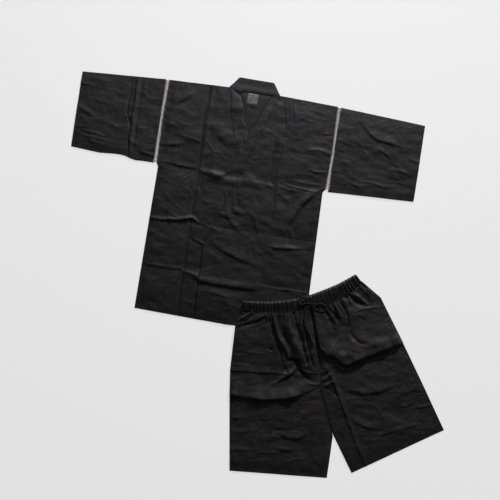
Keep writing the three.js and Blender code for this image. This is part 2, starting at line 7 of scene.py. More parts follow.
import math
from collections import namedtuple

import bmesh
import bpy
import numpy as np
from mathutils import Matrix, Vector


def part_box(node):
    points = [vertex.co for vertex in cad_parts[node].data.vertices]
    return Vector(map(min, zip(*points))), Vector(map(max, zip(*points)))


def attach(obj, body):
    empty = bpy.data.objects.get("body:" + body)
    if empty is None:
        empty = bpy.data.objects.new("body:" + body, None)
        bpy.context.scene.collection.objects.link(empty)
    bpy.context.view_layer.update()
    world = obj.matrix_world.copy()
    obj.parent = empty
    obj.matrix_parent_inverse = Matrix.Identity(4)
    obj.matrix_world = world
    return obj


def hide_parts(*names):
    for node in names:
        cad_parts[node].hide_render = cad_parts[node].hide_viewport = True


bl_info = {
    "name": "Jinbei set laid flat",
    "version": (1, 0, 0),
    "blender": (4, 5, 0),
    "location": "View3D > Sidebar > Jinbei",
    "description": "Builds the cloth, lacing, label and drawstring of a jinbei set laid flat",
    "category": "Object",
}

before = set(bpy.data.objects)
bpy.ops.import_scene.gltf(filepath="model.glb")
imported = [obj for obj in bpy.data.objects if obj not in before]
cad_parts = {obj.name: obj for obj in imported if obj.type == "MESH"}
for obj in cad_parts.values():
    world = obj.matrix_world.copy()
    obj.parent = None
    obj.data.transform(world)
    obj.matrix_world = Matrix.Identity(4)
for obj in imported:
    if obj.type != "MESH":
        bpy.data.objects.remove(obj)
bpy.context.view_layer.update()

MM = 0.001
BODY = "root"

# Places on the CAD part that the jacket's own frame is read from
BACK_LEFT_U = -288.3
BACK_TOP_V = 0
BACK_LOW, BACK_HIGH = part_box("back")
SHIFT = np.array([BACK_LOW.x / MM - BACK_LEFT_U, BACK_HIGH.y / MM - BACK_TOP_V])

# Layers, as the solids have them
WALL = 1.5
GAP = 0.3
UNDER_BASE = WALL + GAP
BACK_BAND_WALL = 2
BAND_GAP = 0.6

# How far the over front is raised above the under front's layer
OVER_EXTRA = 1.9

# How far relief may sink below a cloth's own height
LOWEST_RELIEF = -1.0
LOWEST_SLEEVE = -0.8

# Heights of each cloth's upper face above its layer
CLOTH_TOP = 1.3
BACK_TOP = 0.9
COLLAR_TOP = 1.8
LACE_TOP = 1.0
BACK_BAND_TOP = 1.0
FRONT_BAND_TOP = 0.8

# Jacket outline
LENGTH = 780
SIDE = 284.5
FOLD_HIGH = 16
FOLD_LOW = 2

# Shorts on the jacket: their place, turn and lift, and how the lift and the band's sag fade
SHORTS_U = 279
SHORTS_V = -668
SHORTS_TURN = math.radians(18.8)
SHORTS_LIFT = 7
LIFT_REACH = 38
LIFT_FADE = 118
SAG_FADE = 160
INSEAM_RIGHT_SHORT = 2

# Side edges and seams of the jacket's panels by v, and their hems by the share across
LEFT_EDGE = [(-6, -286.4), (-150, -289.6), (-285, -285.8), (-294, -279), (-771.6, -SIDE)]
RIGHT_EDGE = [(-9, 281.6), (-150, 285.6), (-287, 282.3), (-296, 273.6), (-771.6, SIDE)]
UNDER_SEAM = [(0, -86.3), (-20, -76.3), (-100, -63.3), (-156, -46.3), (-209, -20.3),
              (-529.5, 90), (-778.5, 90)]
OVER_SEAM = [(-2.5, 86.3), (-529.5, -90), (-773.5, -85.5)]
UNDER_HEM = [(0, -771.6), (0.6, -778), (1, -778.5)]
OVER_HEM = [(0, -773.5), (0.285, -780), (1, -771.6)]
BACK_HEM = [(0, -771.6), (0.54, -780), (1, -771.6)]
BACK_NECK = [(-285, -6), (-86, 0), (-43, -2.6), (56, -2.6), (86, -2.5), (281, -9)]

# Upper edges of the panels, by the share across them
BACK_SHOULDER = [((u - BACK_NECK[0][0]) / (BACK_NECK[-1][0] - BACK_NECK[0][0]), v)
                 for u, v in BACK_NECK]
UNDER_SHOULDER = [(0, -6), (1, 0)]
OVER_SHOULDER = [(0, -2.5), (1, -9)]

# Where the over front lies on the band and the front beneath it
COVER_EDGE = [(-112, -8), (-186, 22), (-290, 60), (-515, 131), (-800, 131)]
COVER_REACH = 45
COVER_FADE = 95

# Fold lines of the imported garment, with soft pillows between them
PILLOW_U = [-288, -143, 118, 286]
PILLOW_V = [-775, -631, -465, -292, 0]
PILLOW_HEIGHT = 3.5
PILLOW_CURVE = 0.38

# Where the pillows fade: in from the sides, down from the shoulders, to a share at the hem and
# to nothing under the shorts. Each pair is where the fade starts and ends
PILLOW_SIDES = (2, 26)
PILLOW_TOP = (8, 60)
PILLOW_HEM = (700, 760)
PILLOW_HEM_SHARE = 0.25
PILLOW_COVER_U = (20, 90)
PILLOW_COVER_V = (610, 660)

# Where the small relief fades, in the same way, and its shares at the sides and the hem and
# what the shorts take off it
FINE_SIDES = (0, 16)
FINE_SIDES_SHARE = 0.35
FINE_TOP = (-30, 14)
FINE_HEM = (755, 775)
FINE_HEM_SHARE = 0.3
FINE_COVER_U = (40, 110)
FINE_COVER_V = (640, 690)
FINE_COVER_LOSS = 0.85

# How far the fronts sink on to the back at the hem, and where that starts and ends
HEM_DROP = 1.1
HEM_DROP_SPAN = (752, 774)

# Height of the back's cloth in the neck opening, and its limits
NECK_RISE = 1.8
NECK_UNEVEN = 0.4
NECK_LOWEST = 1.1
NECK_HIGHEST = 2.5

# Puckers along the armhole seams
PUCKER_HEIGHT = 0.75
PUCKER_PITCH = 9
SLEEVE_PUCKER_HEIGHT = 0.7
SLEEVE_PUCKER_PITCH = 9.2

# Creases: how wide each falls away on the left and the right hand when it is followed, how
# sharp it is from 0, round, to 1, pressed, and its line of places with their heights
Crease = namedtuple("Crease", "left right sharp line")


def crease_table(*rows):
    """Creases from rows of left, right, sharp and the places of the line."""
    return [Crease(left, right, sharp, line) for left, right, sharp, *line in rows]


BODY_CREASES = crease_table(
    (14, 4, 0.8, (-284, -279, 1), (-240, -281, 2), (-160, -283, 2.1), (-146, -284, 1.3)),
    (4, 4, 0.4, (-272, -285, 0), (-240, -285, -1.8), (-170, -287, -2), (-150, -288, -2)),
    (12, 9, 0, (-80, -1, 0), (-62, -13, -1.9), (-46, -20, -1.2)),
    (9, 12, 0, (42, -12, -1.2), (60, -9, -1.9), (80, -3, 0)),
    (8, 8, 0.3, (-160, -287, -2.2), (-146, -288, -2.6), (-140, -290, -1)),
    (13, 13, 0.3, (-144, -288, 3), (-130, -290, 5), (-110, -291, 3), (-90, -292, 0)),
    (15, 32, 0, (-132, -290, 0), (-108, -291, 3.6), (-90, -292, 6.6), (-70, -293, 6.6),
     (-58, -294, 3), (-50, -296, 0)),
    (24, 20, 0, (-64, -308, 0), (-45, -311, 2.8), (-20, -309, 2.8), (0, -303, 1)),
    (26, 24, 0, (0, -291, 0), (14, -295, 3.6), (38, -297, 3.8), (54, -302, 2.5), (66, -314, 0)),
    (18, 8, 0.3, (80, -300, 0), (95, -304, 2.2), (114, -306, 0)),
    (7, 4, 0.8, (126, -281, 1), (150, -292, 2.6), (180, -296, 2.8), (245, -299, 2.6),
     (264, -295, 0)),
    (6, 3.5, 0.8, (170, -273, 0), (200, -277, 2), (245, -276, 2), (272, -281, 0)),
    (5, 4, 0.7, (123, -301, 0), (148, -304, 1.8), (190, -308, 1.6), (214, -306, 0)),
    (7, 5, 0.8, (-147, 2, -3), (-149, -150, -3.3), (-148, -284, -3.1)),
    (12, 12, 0, (-139, 0, 1.4), (-138, -280, 1.2)),
    (18, 13, 0, (97, -140, 0), (99, -180, -3), (103, -285, -3.8), (105, -296, -2)),
    (6, 5, 0.4, (121, -130, 0), (121, -190, 1.8), (120, -286, 1.8), (119, -300, 0)),
    (5, 5, 0.6, (113, -290, -1.8), (119, -350, -1.9), (121, -400, -1.4), (119, -445, 0)),
    (5, 5, 0.6, (114, -540, 0), (117, -580, -1.6), (118, -636, -1.3)),
    (9, 9, 0.1, (248, -330, 0), (252, -400, -1), (255, -560, -1.1), (256, -640, -0.9)),
    (6, 6, 0.4, (-143, -300, -1.3), (-143, -440, -1.5), (-142, -500, -2), (-142, -772, -1.9)),
    (5, 5, 0.4, (-97, -532, -1.3), (-93, -580, -2), (-91, -640, -1.5), (-88, -700, -2),
     (-87, -774, -1.8)),
    (12, 26, 0.2, (258, -299, 2.7), (228, -325, 6.3), (206, -358, 5.4), (190, -392, 4),
     (176, -426, 1.4)),
    (12, 6, 0.5, (-288, -471, 4.2), (-240, -467, 5.3), (-190, -461, 6.8), (-155, -452, 6.8),
     (-143, -450, 4.2)),
    (8, 5, 0.7, (-147, -446, 4), (-132, -452, 4.2), (-118, -461, 1.5)),
    (14, 5, 0.5, (-118, -458, 1), (-95, -466, 2), (-60, -474, 1.8), (-18, -487, 0)),
    (7, 7, 0.4, (-234, -430, 0), (-229, -448, -2), (-226, -458, -1)),
    (6, 4, 0.6, (-214, -440, 1), (-196, -449, 2.2), (-174, -453, 0)),
    (22, 9, 0.2, (-38, -360, 0), (-35, -400, 1.3), (-22, -430, 2.8), (0, -450, 2.8),
     (18, -465, 1.5), (34, -478, 0)),
    (18, 8, 0.3, (-66, -424, 0), (-45, -424, 1.8), (-26, -428, 1.8)),
    (18, 11, 0.1, (-14, -388, 0), (-2, -405, 2), (14, -410, 2.3), (30, -407, 2.3),
     (45, -401, 2), (62, -417, 2.3), (78, -445, 2.1), (88, -475, 1.5), (94, -505, 0)),
    (26, 9, 0.2, (-80, -507, 0), (-50, -524, 1.8), (-20, -540, 2.5), (10, -549, 2.8),
     (45, -561, 2.8), (72, -566, 1.7), (94, -564, 0)),
    (8, 8, 0.1, (68, -490, 0), (72, -520, -1.6), (80, -556, -0.8)),
    (9, 8, 0.2, (84, -534, 0), (98, -536, -2), (114, -533, -1.4), (124, -530, 0)),
    (10, 4, 0.8, (-132, -513, 2), (-110, -520, 2.6), (-94, -526, 2.2)),
    (10, 6, 0.4, (-143, -626, 1.3), (-125, -630, 2.8), (-100, -632, 3.2), (-92, -632, 1.9)),
    (10, 6, 0.4, (-286, -618, 1.4), (-220, -621, 2.2), (-150, -620, 1.8)),
    (44, 13, 0, (-86, -645, 4.4), (-40, -648, 5), (10, -649, 5), (60, -647, 4.4),
     (104, -646, 3), (118, -650, 0)),
    (8, 4, 0.8, (112, -636, 1), (150, -637, 2), (200, -637, 2), (268, -634, 1.6)),
    (7, 7, 0.3, (108, -650, 0), (118, -655, -1.6), (132, -652, 0)),
    (14, 6, 0.3, (-80, -678, 0), (-40, -681, 1.7), (10, -686, 1.5), (50, -688, 0)),
    (16, 8, 0.3, (0, -706, 0), (30, -712, 1.7), (66, -719, 1.2)),
    (16, 7, 0.6, (132, -501, 1.2), (150, -502, 3.9), (175, -501, 3.9), (205, -498, 2.6),
     (245, -491, 0.7), (270, -490, 0)),
    (16, 14, 0, (150, -430, 0), (165, -450, 2.6), (182, -476, 0)),
    (12, 10, 0.1, (160, -420, 0), (186, -444, 1.8), (196, -470, 0)),
    (34, 24, 0, (-132, -118, 0), (-110, -142, 2.6), (-88, -160, 4.2), (-64, -174, 4.6),
     (-40, -182, 3.8), (-26, -200, 1)),
    (4, 4, 0.7, (-140, -184, 0), (-118, -203, 1.6), (-100, -219, 1.4), (-84, -228, 0)),
    (4, 4, 0.7, (-84, -222, 0), (-70, -233, 1.3), (-56, -246, 0)),
    (26, 12, 0.1, (-264, -90, 0), (-238, -68, 3), (-210, -46, 3), (-188, -32, 0)),
    (12, 3.5, 0.8, (-288, -223, 2.4), (-250, -218, 2.8), (-212, -210, 2.2), (-190, -211, 0)),
    (8, 6, 0.3, (-270, -152, 0), (-254, -150, 1.7), (-236, -146, 0)),
    (8, 5, 0.3, (-246, -134, 0), (-230, -143, 1.7), (-205, -148, 1.2), (-175, -146, 0)),
    (8, 5, 0.5, (-232, -182, 0), (-200, -186, 1.8), (-156, -194, 1.4)),
    (10, 7, 0.2, (-262, -243, 0), (-235, -240, 1.6), (-200, -234, 0)),
    (26, 15, 0, (-74, -66, 0), (-55, -68, 2.5), (-34, -68, 2.5), (-20, -72, 0.5)),
    (5, 5, 0.4, (97, -8, -1), (106, -50, -1.5), (118, -95, -1.2), (128, -132, 0)),
    (6, 6, 0.2, (132, -14, 0), (142, -50, 1.5), (150, -92, 0)),
    (10, 5, 0.4, (200, -163, 0), (212, -168, 2.4), (240, -162, 1.8), (276, -170, 1.2)),
    (10, 5, 0.4, (158, -190, 0), (190, -192, 1.5), (232, -192, 0)),
    (8, 4, 0.5, (236, -108, 0), (256, -106, 2), (282, -100, 1.2)),
    (8, 5, 0.4, (196, -226, 0), (240, -237, 2.2), (284, -231, 1.4)),
    (6, 4, 0.4, (168, -250, 0), (215, -247, 1.3), (262, -254, 0)),
    (9, 9, 0.1, (-14, -322, 0), (-6, -350, -1.8), (4, -385, -1), (8, -398, 0)),
    (9, 9, 0.1, (52, -330, 0), (62, -355, -1.5), (76, -385, 0)),
    (9, 9, 0.1, (10, -325, 0), (14, -360, 1.3), (22, -395, 0)),
    (10, 8, 0.1, (-42, -340, 0), (-36, -370, 1.3), (-36, -395, 0)),
    (4, 4, 0.5, (-156, -291, -1.6), (-182, -308, -2), (-198, -322, -1.6), (-214, -341, 0)),
    (4, 4, 0.5, (-164, -302, 1.4), (-190, -322, 1.6), (-208, -343, 0)),
    (6, 4, 0.5, (-264, -346, 0), (-240, -339, 2), (-214, -346, 0)),
    (6, 4, 0.5, (-284, -328, 1), (-262, -333, 1.8), (-238, -329, 0)),
    (6, 5, 0.4, (-190, -348, 0), (-170, -358, 1.8), (-148, -374, 0)),
    (6, 5, 0.4, (-246, -372, 0), (-230, -388, 1.6), (-222, -406, 0)),
    (6, 5, 0.4, (-216, -404, 0), (-200, -418, 1.8), (-176, -426, 0)),
    (6, 5, 0.4, (-282, -396, 0), (-262, -402, 1.4), (-244, -416, 0)),
    (8, 5, 0.4, (-130, -340, 0), (-104, -352, 1.6), (-70, -346, 0)),
    (10, 7, 0.3, (-128, -384, 0), (-100, -392, 1.3), (-66, -386, 0)),
    (10, 8, 0.1, (40, -120, 0), (70, -128, 1.4), (98, -140, 0)),
    (10, 8, 0.1, (-8, -214, 0), (36, -230, -1.2), (80, -222, 0)),
    (10, 8, 0.1, (150, -60, 0), (190, -72, 1.4), (232, -70, 0)),
    (10, 8, 0.1, (-260, -560, 0), (-220, -552, 1.1), (-180, -556, 0)),
    (10, 8, 0.1, (-262, -700, 0), (-220, -706, 1.1), (-170, -700, 0)),
)
SLEEVE_CREASES = crease_table(
    (10, 10, 0, (-387, 0, 3.4), (-385, -150, 3.4), (-379, -300, 3.2)),
    (5, 5, 0.5, (-408, -22, -1.6), (-405, -62, -2.4), (-409, -100, -2.2), (-407, -138, -2.6),
     (-398, -155, -2.6), (-390, -180, -2.8), (-389, -240, -2.8), (-383, -284, -2.6)),
    (4.5, 4.5, 0.6, (-372, -12, -2.2), (-370, -120, -2.2), (-369, -182, -2), (-369, -232, -1.3),
     (-368, -262, 0)),
    (8, 4, 0.7, (-370, -180, 1.6), (-345, -180, 1.6), (-316, -177, 0)),
    (9, 6, 0.4, (-548, -218, 0), (-515, -219, 2.4), (-475, -224, 2.2), (-438, -229, 0)),
    (10, 8, 0.2, (-565, -228, 0), (-530, -233, 1.6), (-470, -236, 1.6), (-420, -238, 0)),
    (16, 12, 0.2, (-574, -138, 1), (-552, -146, 2.8), (-530, -154, 2.4), (-510, -158, 0)),
    (8, 6, 0.3, (-576, -58, 1.6), (-560, -62, 1.8), (-536, -60, 0)),
    (9, 5, 0.5, (-352, -256, 0), (-330, -260, 2.2), (-298, -264, 2.6)),
    (12, 10, 0.1, (-548, -104, 0), (-500, -112, 1.3), (-450, -110, 0)),
    (10, 8, 0.2, (-470, -172, 0), (-440, -185, 1.5), (-414, -192, 0)),
    (9, 7, 0.2, (-354, -70, 0), (-330, -76, 1.2), (-304, -74, 1)),
    (9, 7, 0.2, (-354, -128, 0), (-325, -132, 1.2), (-302, -130, 1)),
    (7, 5, 0.3, (-348, -222, 0), (-322, -224, 1.4), (-302, -220, 1)),
    (8, 6, 0.3, (-574, -203, 1.2), (-545, -204, 1.4), (-508, -198, 0)),
    (9, 8, 0.2, (-522, -244, 0), (-508, -249, 1.8), (-488, -253, 0)),
    (30, 9, 0.3, (360, -44, 0), (378, -60, 1.7), (402, -84, 2.9), (430, -98, 3.1), (470, -102, 3),
     (500, -106, 2.1), (518, -115, 0)),
    (16, 6, 0.4, (426, -123, 0), (446, -133, 1.9), (466, -144, 1.9), (488, -157, 0)),
    (8, 4, 0.5, (300, -118, 0.7), (325, -124, 1.3), (352, -131, 1), (364, -133, 0)),
    (8, 5, 0.4, (358, -126, 0), (378, -127, 1), (402, -127, 0.7), (426, -122, 0)),
    (8, 5, 0.4, (376, -139, 0), (392, -147, 1.5), (406, -152, 0)),
    (12, 9, 0.1, (316, -185, 0), (334, -189, 1.7), (352, -192, 0)),
    (8, 4, 0.5, (354, -253, 0), (374, -258, 1.7), (396, -262, 0.7)),
    (9, 6, 0.3, (392, -244, 0), (430, -242, 1.4), (470, -248, 2.4), (508, -248, 0)),
    (8, 5, 0.4, (296, -226, 1.1), (308, -222, 1.7), (324, -216, 0)),
    (12, 7, 0.3, (498, -179, 0), (522, -190, 1.7), (548, -197, 1.2), (568, -196, 0)),
    (8, 6, 0.3, (478, -163, 0), (500, -172, 1.7), (522, -176, 0)),
    (5, 5, 0.5, (361, -18, -1), (361, -150, -1), (360, -288, -0.9)),
    (8, 6, 0.3, (296, -146, 0), (312, -150, 1.8), (334, -158, 0)),
    (14, 10, 0.1, (468, -210, 0), (510, -214, 1.2), (562, -206, 0)),
    (14, 10, 0.1, (428, -62, 0), (470, -64, 1.2), (522, -60, 0)),
    (10, 7, 0.3, (538, -139, 0), (560, -150, 1.7), (574, -152, 1)),
)
LEG_CREASES = crease_table(
    (105, 10, 0.2, (24, -160, 0), (36, -178, 4), (58, -191, 8), (72, -208, 12),
     (89, -221, 13.5), (130, -213, 13.5), (187, -203, 13.5), (240, -190, 13), (302, -175, 12.5)),
    (48, 10, 0.2, (-330, -244, 8), (-300, -252, 9), (-260, -268, 10), (-200, -286, 11.5),
     (-150, -294, 12.5), (-105, -297, 13), (-84, -294, 9), (-50, -287, 4), (-20, -276, 1.5),
     (-8, -272, 0)),
    (26, 4, 0.7, (-302, -173, 2.8), (-250, -185, 3.2), (-200, -197, 3.2), (-150, -209, 2.8),
     (-104, -220, 2)),
    (10, 4, 0.6, (-316, -202, 1.6), (-280, -206, 1.6), (-245, -213, 0)),
    (22, 8, 0.3, (-178, -250, 0), (-150, -242, 3.2), (-120, -230, 6.4), (-95, -219, 7.4),
     (-82, -213, 4)),
    (9, 8, 0.2, (-116, -14, 3), (-116, -60, 5.6), (-110, -100, 6.4), (-101, -125, 5.8),
     (-94, -150, 4), (-92, -184, 0)),
    (4, 4, 0.3, (-121, -140, 0), (-116, -165, 2.6), (-110, -195, 2.6), (-105, -214, 0)),
    (8, 8, 0.2, (-134, -28, -2), (-128, -80, -3), (-121, -130, -3), (-114, -180, -3),
     (-106, -214, -2)),
    (14, 34, 0, (-74, -14, 6), (-72, -60, 8), (-66, -100, 7.6), (-56, -140, 7),
     (-48, -175, 5), (-42, -205, 2), (-38, -216, 0)),
    (7, 7, 0.2, (-50, -24, -2.6), (-46, -70, -3), (-42, -120, -3), (-36, -180, -2.6),
     (-32, -216, -1)),
    (12, 12, 0, (-99, -78, 0), (-92, -98, -4.2), (-83, -124, -4), (-76, -144, 0)),
    (13, 13, 0, (-90, -176, -2.6), (-72, -180, -3.6), (-64, -205, -3.6), (-54, -235, -3.6),
     (-36, -254, -2.6), (-14, -258, 0)),
    (5, 4, 0.4, (-66, -195, 0.7), (-58, -212, 2.8), (-40, -226, 3.5), (-18, -233, 2.8),
     (0, -238, 0.7)),
    (5, 4, 0.4, (-37, -48, 0), (-24, -74, 3.2), (-14, -105, 3.2), (-9, -135, 1.6),
     (-7, -152, 0)),
    (7, 7, 0.2, (-34, -62, 0), (-27, -100, -2.6), (-22, -150, -2.9), (-17, -205, -2),
     (-10, -224, 0)),
    (5, 5, 0.4, (9, -28, -2.6), (9, -100, -3), (6, -160, -3), (8, -224, -2.6)),
    (60, 5, 0.1, (15, -28, 4), (14, -70, 6), (14, -110, 7), (16, -150, 7), (26, -178, 4)),
    (55, 12, 0, (34, -170, 2), (60, -188, 3.6), (88, -206, 1)),
    (12, 8, 0.2, (44, -20, -2.6), (58, -50, -4.6), (70, -85, -4.6), (76, -114, 0)),
    (4, 4, 0.4, (57, -50, 0), (66, -72, 3), (76, -100, 2.6), (80, -114, 0)),
    (13, 13, 0.1, (76, -40, -1), (88, -68, -4.4), (101, -90, 0)),
    (5, 5, 0.2, (62, -4, 2), (72, -30, 4.2), (80, -50, 0)),
    (6, 5, 0.2, (82, -4, 2), (92, -35, 4.2), (100, -62, 3), (113, -69, 0)),
    (7, 7, 0.3, (104, -6, -2), (112, -25, -3.6), (120, -50, -3.2), (124, -66, -1.8),
     (122, -95, -2.2), (104, -130, -1), (88, -150, 0)),
    (7, 6, 0.2, (114, -2, 2), (124, -18, 4.6), (130, -34, 2), (131, -52, 0)),
    (5, 5, 0.3, (133, -2, -2.6), (138, -25, -3.2), (142, -49, 0)),
    (8, 8, 0.1, (150, 6, 1.6), (170, -8, 3.4), (186, -28, 2.6), (199, -44, 0)),
    (13, 10, 0, (146, -4, -2), (158, -24, -4), (176, -38, -3.4), (198, -45, -1)),
    (12, 14, 0.1, (180, 8, -3), (198, -20, -4.6), (206, -46, 0)),
    (7, 5, 0.3, (137, -59, 0), (160, -54, 2), (200, -52, 2), (246, -54, 1)),
    (9, 9, 0.1, (149, -69, 0), (168, -80, -2.2), (192, -95, 0)),
    (10, 10, 0.1, (121, -112, 0), (132, -140, -3.2), (150, -160, -3.2), (178, -170, 0)),
    (5, 5, 0.2, (-246, -23, 2), (-222, -10, 4.6), (-196, 0, 4.6), (-182, 4, 2)),
    (5, 5, 0.2, (-177, -25, 1), (-160, -18, 4.2), (-140, -12, 2)),
    (10, 8, 0.1, (-248, -42, -2.6), (-215, -36, -3.6), (-180, -34, -3.2), (-150, -26, -1.5)),
    (5, 5, 0.2, (-217, -23, -2), (-192, -12, -3.2), (-166, -5, -2)),
    (4, 4, 0.3, (-147, -10, -1), (-145, -40, -1.7), (-143, -64, 0)),
    (8, 8, 0.1, (-162, -121, 0), (-145, -130, -2.2), (-128, -125, 0)),
    (8, 5, 0.3, (-296, -150, 1), (-250, -165, 1.4), (-198, -178, 0)),
    (8, 6, 0.3, (-262, -88, 0), (-220, -96, 1.3), (-172, -92, 0)),
    (8, 6, 0.3, (-240, -122, 0), (-205, -132, 1.4), (-168, -142, 0)),
    (5, 4, 0.4, (-2, -262, 0), (14, -257, 3.4), (30, -250, 2.8), (45, -246, 0)),
    (6, 5, 0.3, (3, -291, 0), (16, -280, 3.4), (34, -272, 2.8), (48, -272, 0)),
    (6, 6, 0.2, (1, -248, -3), (16, -246, -3.6), (32, -238, -2.6), (41, -232, 0)),
    (5, 5, 0.2, (3, -270, -3), (20, -268, -3.2), (37, -262, -1)),
    (6, 4, 0.4, (-46, -262, 0), (-24, -268, 2.8), (-5, -272, 2)),
    (16, 10, 0.2, (26, -222, 1.9), (36, -250, 2.9), (44, -285, 3.2), (51, -330, 3.5),
     (60, -380, 3.5), (69, -430, 3.2), (80, -490, 2.9), (98, -576, 2.5)),
    (6, 6, 0.3, (38, -290, -0.6), (46, -330, -1.3), (56, -385, -1.6), (65, -430, -1.5),
     (75, -485, -1.3), (92, -570, -1.2)),
    (6, 6, 0.2, (12, -287, -1.6), (28, -300, -2.2), (43, -317, -2)),
    (5, 6, 0.3, (-2, -296, -2), (-1, -340, -3), (3, -390, -3), (7, -442, -3)),
    (3, 3, 0.4, (-50, -310, -0.8), (-62, -400, -1.1), (-77, -524, -1.1)),
    (3, 3, 0.4, (-57, -330, 0.6), (-67, -400, 0.9), (-80, -500, 0.6)),
    (30, 14, 0.1, (64, -295, 0), (95, -306, 2.4), (130, -324, 4), (175, -328, 4),
     (215, -320, 2.6), (248, -311, 0)),
    (22, 9, 0.3, (72, -396, 0), (96, -422, 3.2), (125, -438, 3.2), (152, -446, 1.4), (170, -448, 0)),
    (14, 5, 0.4, (138, -472, 0), (165, -474, 2.4), (220, -465, 2.2), (302, -460, 1)),
    (12, 5, 0.3, (93, -486, 0), (130, -488, 2.2), (177, -489, 0)),
    (18, 10, 0.2, (222, -345, 0), (265, -350, 2), (310, -340, 1.8), (334, -338, 0)),
    (12, 6, 0.3, (278, -404, 0), (315, -406, 2), (352, -402, 1.8)),
    (8, 6, 0.2, (158, -364, 0), (176, -400, 1.7), (193, -452, 0)),
    (12, 8, 0.2, (228, -388, 0), (262, -392, 1.7), (302, -384, 0)),
    (10, 7, 0.2, (198, -500, 0), (240, -496, 1.5), (282, -485, 0)),
    (26, 12, 0.2, (-170, -403, 0), (-140, -424, 3.6), (-108, -434, 4), (-80, -426, 2.4),
     (-69, -417, 0)),
    (16, 7, 0.3, (-198, -447, 0), (-172, -462, 3.2), (-142, -470, 2.8), (-124, -470, 0)),
    (16, 8, 0.2, (-345, -434, 1.8), (-300, -440, 2.4), (-255, -446, 1.8), (-222, -450, 0)),
    (10, 5, 0.3, (-272, -460, 0), (-220, -464, 2), (-160, -474, 1.5), (-143, -478, 0)),
    (14, 8, 0.2, (-322, -334, 0), (-295, -336, 2.2), (-260, -338, 0)),
    (14, 8, 0.2, (-312, -376, 0), (-280, -380, 1.7), (-233, -388, 0)),
    (18, 10, 0.2, (-192, -380, 0), (-150, -392, 2), (-98, -396, 0)),
    (10, 6, 0.3, (-167, -500, 0), (-130, -503, 1.8), (-93, -498, 0)),
    (8, 6, 0.2, (-242, -350, 0), (-225, -372, 1.5), (-214, -394, 0)),
    (10, 7, 0.2, (-282, -486, 0), (-225, -490, 1.3), (-168, -494, 0)),
    (10, 6, 0.3, (-82, -526, 0), (-60, -512, 2), (-43, -508, 0)),
)

# Sleeves, from the armhole to the cuff
SLEEVE_LEFT = [(-297, -5, -286), (-330, -7.5, -285.6), (-357, -9, -287), (-374, -10, -284),
               (-390, -11, -278.6), (-408, -12, -276), (-430, -13.5, -276.5),
               (-478, -16, -280.4), (-525, -19, -277.5), (-574, -22, -274)]
SLEEVE_RIGHT = [(292.5, -10, -294), (325, -12, -292.5), (355, -13.5, -291),
                (385, -15.5, -290), (420, -17.5, -288.5), (455, -19.5, -287),
                (490, -21.5, -286), (530, -24, -284.5), (576, -27, -282.5)]
SLEEVE_PUFF = 1.6

# Height of a sleeve's folded edges, and how far its under layer lies below them
SLEEVE_FOLD = 0.75
SLEEVE_UNDER = 0.7

# Share of its first place that a sleeve starts at, so that it covers the edge of the lacing
SLEEVE_START = 0.9955

# Collar bands: matching places on the outer and the inner edge, from the centre back on
CollarStation = namedtuple("CollarStation", "outer_u outer_v inner_u inner_v")
COLLAR_UNDER = [CollarStation(*row) for row in (
    (3.4, 37.5, 3.4, -6.3), (-50, 38.4, -36, -6.3), (-56, 38.5, -42, -8), (-71, 19, -43, -15),
    (-86, 0, -43, -23), (-76, -20, -34, -45), (-70, -55, -24, -70), (-63, -100, -19, -98),
    (-46, -156, -3, -137), (-20, -209, 22, -192), (8.2, -291, 53, -276),
    (71, -473, 114, -458), (86, -517, 131, -498), (90.3, -529.5, 128, -518),
)]
COLLAR_OVER = [CollarStation(*row) for row in (
    (2, 37.5, 2, -6.3), (50, 37.1, 40, -6.3), (60, 37, 52, -6.3), (73, 17, 57, -7.5),
    (86, -2.5, 60, -10), (68.1, -56, 42, -55), (30, -170, -1, -162), (14, -218, -20, -209),
    (-10, -289.5, -53, -276), (-71, -472, -114, -458), (-86, -516.5, -131, -498),
    (-90.3, -529.5, -128, -518),
)]

# Edges of the neck opening
NECK_LEFT = [(row.inner_v, row.inner_u) for row in COLLAR_UNDER[3:10]]
NECK_RIGHT = [(row.inner_v, row.inner_u) for row in COLLAR_OVER[3:8]]

# Armholes: left and right edge of each lacing strip by its place down the sleeve
LACE_LEFT = [(-8, -297, -285), (-150, -297, -288.3), (-283, -297, -284.5)]
LACE_RIGHT = [(-12, 280.3, 292.5), (-150, 284.2, 292.5), (-286, 281, 292.5)]

# Lacing: how far it reaches into the cloth, how far its threads part where they cross
LACE_OVERLAP = 1.0
LACE_PART = 0.33
LACE_STEPS = 16
LACE_SIDES = 7
LACE_PLY = {"twist": 3500, "flutes": 2, "flute_depth": 0.12}

# Label and tab: middle, width and height of each, and how they lie on the back
LABEL_ROWS = (("neck_label", "label", -2.5, -27, 36, 36), ("size_tab", "tab", 2, -50.5, 20, 9))
LABEL_WALL = 0.5
LABEL_LIFT = 0.75
LABEL_BOW = 0.25
LABEL_PRESS = 0.15

# Shorts outline, by q
OUTER_LEFT = [(12, -214), (-26, -246), (-173, -290), (-248, -305), (-503, -350)]
OUTER_RIGHT = [(38, 190), (27, 202), (-25, 244), (-180, 289), (-340, 333), (-494, 374)]
CENTRE_LEFT = [(-24, 4), (-60, 9), (-140, 7.5), (-220, 3.5), (-300, -4), (-448, 8),
               (-583, -36)]
CENTRE_RIGHT = [(-24, 4), (-60, 9), (-140, 7.5), (-220, 3.5), (-300, -4), (-448, 9.5),
                (-581, 47)]
LegRow = namedtuple("LegRow", "left inner right")
LEG_ROWS = [LegRow(*row) for row in (
    (12, -24, 38), (-12, -50, 10), (-45, -80, -30), (-85, -115, -70), (-125, -150, -110),
    (-160, -180, -145), (-184, -203, -178), (-208, -224, -200), (-232, -246, -226),
    (-256, -272, -250), (-280, -301, -280), (-325, -345, -330), (-378, -400, -385),
    (-428, -448, -430), (-466, -515, -463), (-503, -583, -494),
)]
BAND_LOW = [(-214, 12), (-149, -6), (-80, -20), (4, -24), (66, -20), (130, 0), (190, 38)]
